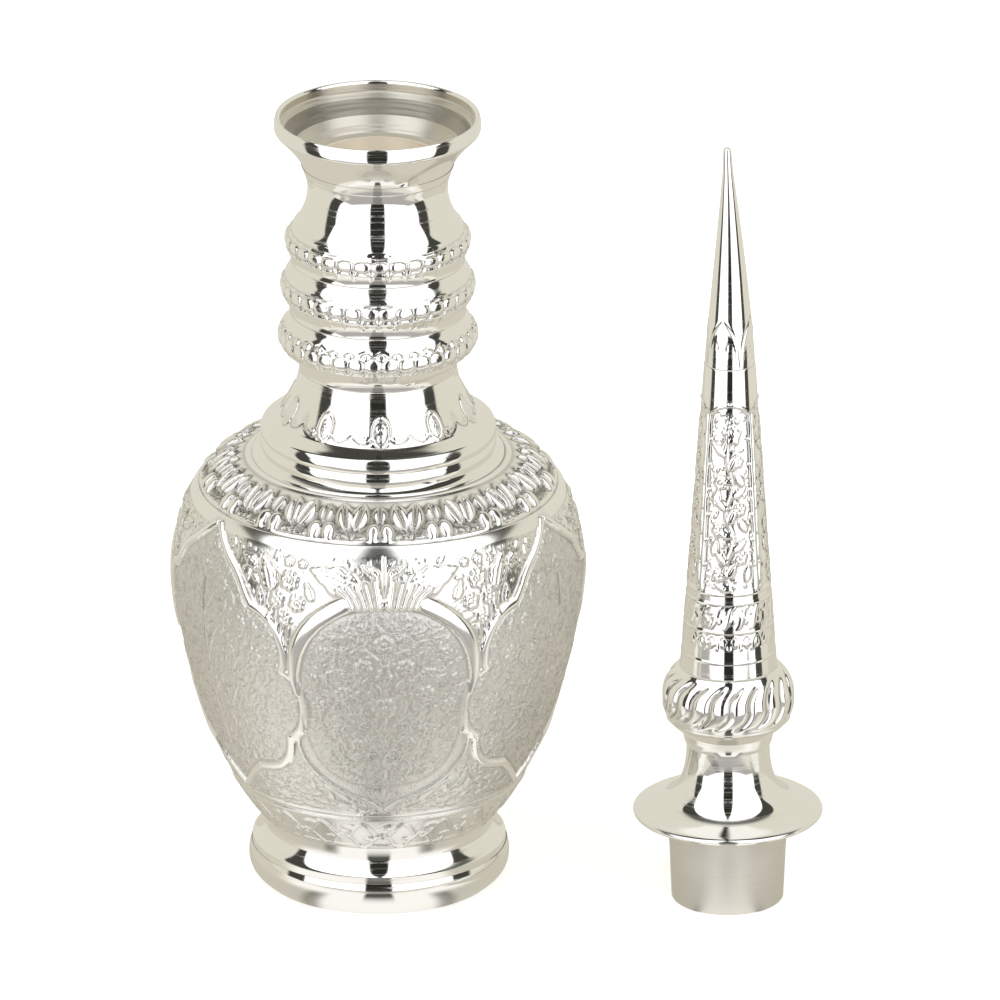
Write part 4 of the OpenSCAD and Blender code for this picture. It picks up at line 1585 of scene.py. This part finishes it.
@dataclass
class StopperFoot(Rings):
    """Plug, flange, bell and waist collar of the stopper."""

    item: Item = Item.STOPPER
    sheet: float = 0.8
    plug_end_r: float = 14.05
    plug_r: float = 14.6
    plug_cone_h: float = 13.7
    plug_top_r: float = 15.8
    plate_z: float = 20.0
    edge_z: float = 22.7
    bell_z: float = 24.6
    waist_z: float = 41.6
    knop_z: float = 45.0
    flange_r: float = 23.75
    edge_bore: float = 22.0
    waist_r: float = 10.4
    collar_r: float = 11.4

    def build(self) -> None:
        """Makes the pieces from the plug's end up to the waist collar."""
        disc = [(self.plug_end_r - 1.2, 0.0)] \
            + arc((self.plug_end_r - 0.6, 0.6), 0.6, 0.6, -80, 0, 6) \
            + [(self.plug_end_r, self.sheet)]
        self.ring("plug_end", "plug_end_disc", disc, bored(0.0, disc), BRUSHED, 160)
        plug = [(self.plug_end_r, self.sheet)] + curve(
            (self.plug_r, self.plug_cone_h), (self.plug_top_r, self.plate_z),
            (0.15, 0.40), (0.50, 0.30), 16)
        self.ring("plug", "plug_sleeve", plug, lining(plug, self.sheet, 8), BRUSHED, 160)
        rise = curve((self.plug_top_r + 0.4, self.plate_z), (self.edge_bore - 0.05, self.edge_z),
                     (0.40, 0), (0.30, 0.30), 14)
        bore = self.plug_r - 2 * self.sheet
        plate = [(bore, self.plate_z)] + rise
        self.ring("flange_under", "flange_plate", plate,
                  [(r, z + self.sheet) for r, z in reversed(plate)], BRUSHED, 160)
        wire = arc((self.flange_r - 0.75, self.edge_z + 0.75), 0.75, 0.75, -90, 62, 12) \
            + [(self.edge_bore + 0.4, self.bell_z)]
        self.ring("flange_wire", "flange_edge_wire", wire, bored(self.edge_bore, wire), steps=192)
        edge = (self.edge_bore + self.sheet - 0.3, self.bell_z + 0.05)
        bell = [(edge[0], self.bell_z)] + curve(edge, (self.waist_r, self.waist_z),
                                                (0.42, 0.075), (0, 0.90), 40)
        self.ring("stopper_bell_shell", "stopper_bell", bell, lining(bell, self.sheet, 12),
                  steps=192)
        collar = curve((self.waist_r + 0.2, self.waist_z), (self.collar_r, self.knop_z),
                       (0.80, 0.30), (0.20, 0.30), 12)
        self.ring("stopper_waist", "waist_collar", collar,
                  bored(self.waist_r - 2 * self.sheet, collar), steps=160)


@dataclass
class Knop(Rings):
    """Gadrooned knop over the stopper's waist."""

    item: Item = Item.STOPPER
    sheet: float = 0.8
    foot: Point = (11.4, 45.0)
    equator: Point = (16.4, 54.4)
    head: Point = (12.7, 62.5)
    count: int = 20
    step: float = 0.27
    lobe_foot: float = 50.0
    lobe_rise: float = 11.5

    def build(self) -> None:
        """Makes both halves, with the same gadroons running over the seam."""
        line = joined(curve(self.foot, self.equator, (0.65, 0.29), (0, 0.64), 28),
                      curve(self.equator, self.head, (0, 0.45), (0.50, 0.27), 28))
        self.chased("knop", ("knop_lower", "knop_upper"), line, self.count, 5.0, self._chase,
                    lining(line, self.sheet, 14))

    def _lean(self, z: np.ndarray) -> np.ndarray:
        """How many repeats a lobe has leant over by a height."""
        t = np.clip((z - self.lobe_foot) / self.lobe_rise, 0, 1)
        return 1.5 * t + 0.24 * np.sin(2 * math.pi * t)

    def _chase(self, relief: Relief) -> None:
        """Fat leaning lobes with hollow valleys between them, over a bright line."""
        span = relief.span
        z = relief.z[:, None]
        phase = ((relief.turn[None, :] - span * self._lean(z)) / span) % 1.0
        valley = np.clip(1 - np.minimum(phase, 1 - phase) / 0.30, 0, 1)
        fade = np.clip((z - 50.2) / 1.4, 0, 1) * np.clip((61.6 - z) / 1.8, 0, 1)
        relief.height -= fade * 0.58 * (1 - np.cos(math.pi * valley)) / 2
        relief.height += fade * 0.22 * np.sin(math.pi * phase) ** 0.7
        for i in range(4):
            at = 55.4 + 1.2 * i
            turn = float(span * (self._lean(at) % 1.0 - 0.5))
            relief.stamp(turn, at, Boss(0.42, 0.16, 0.18), base=-0.45)
        relief.round_wire(48.9, 0.6, 0.2)
        relief.finish(fade > 0.5, 0.0, 0.0, 0.0, 0.8)


@dataclass
class Spire(Rings):
    """Chased shaft, plain tip and nib."""

    item: Item = Item.STOPPER
    sheet: float = 0.8
    foot: Point = (12.2, 62.5)
    seam: Point = (6.4, 143.2)
    nib_z: float = 194.0
    top_z: float = 200.2
    nib_r: float = 1.3
    lean: float = 0.9
    panels: int = 4

    def build(self) -> None:
        """Makes the shaft, the tip and the nib."""
        shaft = curve(self.foot, self.seam, (0.30, 0.25), (0.33, 0.36), 60)
        self.chased("spire", ("spire_shaft",), shaft, self.panels, 0.0,
                    lambda relief: SpirePanels(relief).chase())
        tip = curve((self.seam[0] - 0.1, self.seam[1]), (self.nib_r, self.nib_z),
                    (0.16, 0.25), (0.42, 0.38), 48)
        hollow = [(0.0, self.nib_z), (0.0, self.nib_z - 15.2), (self.seam[0] - 0.95, self.seam[1])]
        self.chased("spire_point", ("spire_tip",), tip, self.panels, -20.0, self._petals,
                    hollow, lean=self.lean)
        stem = self.nib_r
        top = stem * 0.78
        nib = [(stem, self.nib_z), (0.5 * (stem + top), self.nib_z + 3.0)] \
            + arc((0.0, self.top_z - top), top, top, 0, 90, 10)
        Turned("spire_nib", self.item, nib, [(0.0, self.nib_z)], POLISHED, ("finial_nib",), 96,
               lean=self.lean).build()

    @staticmethod
    def _petals(relief: Relief) -> None:
        """Four long petals that clasp the foot of the tip."""
        for side in (-1, 1):
            edge = smooth(mirrored([(44, 144.0), (40, 149.0), (26, 153.0), (0, 156.5)], side), 6)
            relief.cut(edge, 0.5, 0.14)
            relief.wire([(t * 0.9, z - 0.7) for t, z in edge], (0.5,), 0.12)
            relief.cut(mirrored([(6, 145), (14, 150)], side), 0.35, 0.1)
        relief.cut([(0, 145), (0, 153)], 0.35, 0.1)
        relief.matt[:] = 0.1 * (relief.z[:, None] < 156)
        relief.finish(relief.matt > 0.05, 0.0, 0.0, 0.0, 0.8)


@dataclass
class SpirePanels:
    """Lines, festoons, a running wave and four tall arched panels of leaves."""

    relief: Relief
    panel: tuple[float, float] = (85.4, 134.3)
    edge: float = 41.0

    def chase(self) -> None:
        """Raises each zone from the foot up."""
        relief = self.relief
        for z, width, lift in ((67.0, 0.5, 0.08), (75.0, 0.6, 0.16), (82.4, 0.6, 0.16),
                               (84.9, 0.5, 0.14)):
            relief.round_wire(z, width, lift)
        arch = [(-7, 70.6), (-5.5, 73.0), (0, 74.2), (5.5, 73.0), (7, 70.6)]
        for i in range(6):
            middle = -37.5 + 15 * i
            relief.wire(smooth(mirrored(arch, 1, middle), 4), (0.4,), 0.09)
            relief.stamp(middle, 71.0, Leaf(2.4, 1.5, 0.13, 0, 0, 0, 0.8, 3), 90)
        wave = [(-7, 75.9), (-3, 77.0), (0, 79.0), (3, 81.0), (8, 81.7)]
        for i in range(5):
            middle = -36 + 18 * i
            relief.wire(smooth(mirrored(wave, 1, middle), 5), (0.5, 1.3, 0.5), 0.16)
            relief.stamp(middle + 4.5, 77.4, Curl(0.9, 1.1, 0.5, 0.10), 120)
            relief.stamp(middle - 5.5, 79.9, Curl(0.8, 1.0, 0.45, 0.10, -1), -50)
        self._panel()

    def _panel(self) -> None:
        """One arched panel with its scalloped edge and a tall spray."""
        relief = self.relief
        foot, top = self.panel
        lobes = 7
        tall = (top - 3.0 - foot) / lobes
        for side in (-1, 1):
            for i in range(lobes):
                z = foot + tall * i
                lobe = [(self.edge, z + 0.2), (self.edge + 1.4, z + tall * 0.5),
                        (self.edge, z + tall - 0.2)]
                fillet = [(self.edge, z + tall), (self.edge - 5, z + tall + 0.5)]
                relief.wire(smooth(mirrored(lobe, side), 4), (0.5, 0.75, 0.5), 0.32)
                relief.wire(mirrored(fillet, side), (0.6, 0.4), 0.15)
            arch = [(45, 131.9), (34, 132.2), (22, 133.6), (0, top)]
            relief.wire(smooth(mirrored(arch, side), 5), (0.6,), 0.32)
        inside = (np.abs(relief.turn)[None, :] < self.edge - 2) & (relief.z[:, None] > foot + 0.6) \
            & (relief.z[:, None] < 132.4)
        relief.matt[inside] = 0.14
        relief.gain = 0.62
        spine = [(2, 86), (-5, 92), (6, 99), (-6, 106), (6, 113), (-5, 120), (0, 128)]
        relief.stem(spine, (0.8, 0.6), 0.3, Leaf(4.6, 2.2, 0.46, 0.6, 0.9, 0, 0.8, 2), 3.4)
        for turn, z, radius in ((-15, 90, 1.7), (17, 94.4, 1.9), (-17, 101.6, 1.9), (17, 107, 1.7),
                                (-16, 114, 1.8), (14, 119.4, 1.6), (0, 127.4, 2.1)):
            relief.stamp(turn, z, Blossom(radius, 6, 0.5), 10)
        relief.strew(((-26, 95, 70), (27, 101, 110), (-26, 108, 70), (24, 113, 115), (24, 88, 70),
                      (-14, 121, 70), (14, 124, 110)), Leaf(4.8, 2.2, 0.42, 0.6, 0.8, 0, 0.8, 2))
        relief.scatter(inside, 160, (Leaf(1.8, 0.8, 0.2, 0.2, 0.7), Boss(0.4, 0.12)))
        relief.gain = 1.0
        relief.matt = relief.soften(relief.matt, 0.3)
        relief.finish(relief.matt > 0.05, 0.05, 0.09, 0.04, 0.8)


# ---------------------------------------------------------------- studio


@dataclass
class Studio:
    """Pale floor, light tent and camera."""

    target: tuple[float, float, float] = (30.4, 0.0, 99.95)
    elevation: float = 21.5
    distance: float = 5.0
    floor_r: float = 700.0
    table_r: float = 220.0
    white: float = 1.35
    cream: tuple[float, float, float] = (0.73, 0.71, 0.62)
    paper: tuple[float, float, float] = (1.0, 0.985, 0.95)
    focal: float = 720.0
    sensor: float = 36.0

    def build(self) -> None:
        """Sets the light, the floor and the camera."""
        self._tent()
        self._floor()
        self._table_glow()
        self._camera()
        view = bpy.context.scene.view_settings
        view.view_transform = "Standard"
        view.look = "None"
        LOG.info("studio set")

    def _tent(self) -> None:
        """The world: a tall leaning panel, parted in the middle, in a cream room."""
        world = bpy.data.worlds.new("light_tent")
        bpy.context.scene.world = world
        graph = Graph(world)
        way = graph.node("ShaderNodeTexCoord", output="Generated")
        x, y, z = graph.parts(way)

        def leaning(foot: float, slope: float, ahead: float) -> Sock:
            """How far behind an edge of the panel a place is."""
            return y - (z - foot).high(0.0) * slope + ahead

        inner = leaning(0.15, 0.68, 0.38)
        outer = leaning(0.40, 0.79, 0.07) - abs(x) * z.step(0.45, 0.75) * 0.42
        panel = 1.0 - inner.step(-0.015, 0.01)
        bars = inner.step(-0.02, 0.02) * (1.0 - outer.step(-0.04, 0.03))
        half = (-y).high(0.0) * 0.185 + 0.015
        slit = 1.0 - (abs(x) - half).step(-0.012, 0.012)
        rear = outer.step(0.03, 0.09) * (1.0 - abs(x).step(0.11, 0.15)) * z.step(0.45, 0.55)
        stripe = graph.node("ShaderNodeTexNoise", {"noise_dimensions": "1D"},
                            {"W": z, "Scale": 26.0, "Detail": 2.0, "Roughness": 0.6})
        streaks = stripe.step(0.60, 0.68) * 0.35
        room = graph.mix(rear * 0.8, self.cream, (1.0, 0.99, 0.95))
        lit = graph.mix(panel, room, (self.white,) * 3)
        framed = graph.mix(bars * 0.96, lit, (0.030, 0.029, 0.026))
        dark = graph.mix(streaks, (0.024, 0.024, 0.020), (1.0, 1.0, 0.95))
        shade = graph.mix(slit, framed, dark)
        back = graph.node("ShaderNodeBackground", None, {0: shade, 1: 1.0})
        graph.end("ShaderNodeOutputWorld", back)

    def _disc(self, name: str, centre: Point, radius: float, z: float) -> bpy.types.Object:
        """A flat disc on the stage."""
        shape = bmesh.new()
        bmesh.ops.create_circle(shape, cap_ends=True, segments=128, radius=radius * MM)
        bmesh.ops.translate(shape, verts=shape.verts,
                            vec=(centre[0] * MM, centre[1] * MM, z * MM))
        made = placed(name, meshed(name, shape))
        return made

    def _floor(self) -> None:
        """A plain pale floor with a little light of its own."""
        floor = self._disc("pale_floor", (0.0, 0.0), self.floor_r, -0.05)
        paint = bpy.data.materials.new("pale_floor")
        graph = Graph(paint)
        shader = graph.node("ShaderNodeBsdfPrincipled", None,
                            {"Base Color": (0.86, 0.86, 0.85, 1.0), "Roughness": 0.9,
                             "Emission Color": (1.0, 1.0, 0.99, 1.0), "Emission Strength": 0.52,
                             "Specular IOR Level": 0.0})
        graph.end("ShaderNodeOutputMaterial", shader)
        floor.data.materials.append(paint)
        floor.visible_glossy = False

    def _table_glow(self) -> None:
        """What the silver sees of the table: white close by, grey further out."""
        sheet = self._disc("table_reflection", (44.0, -8.0), 2 * self.table_r, 0.02)
        for flag in ("visible_camera", "visible_diffuse", "visible_shadow",
                     "visible_transmission", "visible_volume_scatter"):
            setattr(sheet, flag, False)
        paint = bpy.data.materials.new("table_reflection")
        graph = Graph(paint)
        x, y, _ = graph.parts(graph.place())
        far_x, far_y = Item.STOPPER.axis
        right = x.step(43.9, 44.1)
        dx = x - right * far_x
        dy = y - right * far_y
        ahead = -y - 8.0
        side = graph.maths("ARCTAN2", abs(dx), -dy) * (180 / math.pi)
        close = 1.0 - ahead.step(52.0, 78.0)
        near = 1.0 - ahead.step(96.0, 122.0)
        within = 1.0 - (ahead.high(abs(dx)) - self.table_r).step(-6.0, 6.0)
        front = 1.0 - side.step(56.0, 68.0)
        reach = (dx * dx + dy * dy) ** 0.5
        apron = 1.0 - reach.step(40.0, 54.0)
        behind = 1.0 - ahead.step(4.0, 24.0)
        strip = (1.0 - abs(dx).step(5.0, 8.0)) * behind * 0.3
        slit = (1.0 - side.step(7.0, 10.0)) * ahead.step(26.0, 44.0)
        slit = slit * (1.0 - right * ahead.step(60.0, 72.0))
        bar = side.band(60.0, 72.0, 5.0) * (1.0 - close)
        room = graph.mix(close, (0.66, 0.64, 0.56), (0.90, 0.88, 0.81))
        table = graph.mix(near, (0.44, 0.425, 0.41), (0.78, 0.75, 0.67))
        table = graph.mix(close, table, self.paper)
        shade = graph.mix(front, room, table)
        roll = graph.mix(side.step(30.0, 38.0), self.paper, (0.56, 0.54, 0.47))
        roll = graph.mix(side.band(30.0, 41.0, 4.0) * 0.6, roll, (0.06, 0.055, 0.05))
        shade = graph.mix(apron, shade, roll)
        shade = graph.mix(behind * 0.85, shade, (0.60, 0.56, 0.47))
        slit = (slit * (close * 0.5 + 0.45)).high(strip)
        shade = graph.mix(slit, shade, (0.04, 0.038, 0.033))
        shade = graph.mix(bar * 0.4, shade, (0.05, 0.046, 0.040))
        glow = graph.node("ShaderNodeEmission", None, {0: shade, 1: 1.0})
        clear = graph.node("ShaderNodeBsdfTransparent")
        both = graph.node("ShaderNodeMixShader", None, {0: within, 1: clear, 2: glow})
        graph.end("ShaderNodeOutputMaterial", both)
        sheet.data.materials.append(paint)

    def _camera(self) -> None:
        """A long lens at the height of a seated viewer."""
        lens = bpy.data.cameras.new("camera")
        lens.sensor_width = self.sensor
        lens.lens = self.focal
        lens.clip_end = 30.0
        eye = placed("camera", lens)
        aim = Vector(self.target) * MM
        tilt = math.radians(self.elevation)
        eye.location = aim + Vector((0.0, -math.cos(tilt), math.sin(tilt))) * self.distance
        eye.rotation_euler = (math.radians(90.0 - self.elevation), 0.0, 0.0)
        bpy.context.scene.camera = eye


# ---------------------------------------------------------------- all together


def dress_base_disc(finish: Finish) -> None:
    """Gives the one CAD node that still shows a silver finish."""
    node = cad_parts["base_disc"]
    node.data.materials.clear()
    node.data.materials.append(finish.material())
    LOG.info("base_disc dressed")


def main() -> None:
    """Builds the decanter and its stopper, and then the studio."""
    logging.basicConfig(level=logging.INFO, format="%(name)s: %(message)s")
    for part in (Foot(), Body(), Neck(), Mouth(), StopperFoot(), Knop(), Spire()):
        part.build()
    dress_base_disc(BRUSHED)
    Studio().build()


if __name__ == "__main__":
    main()
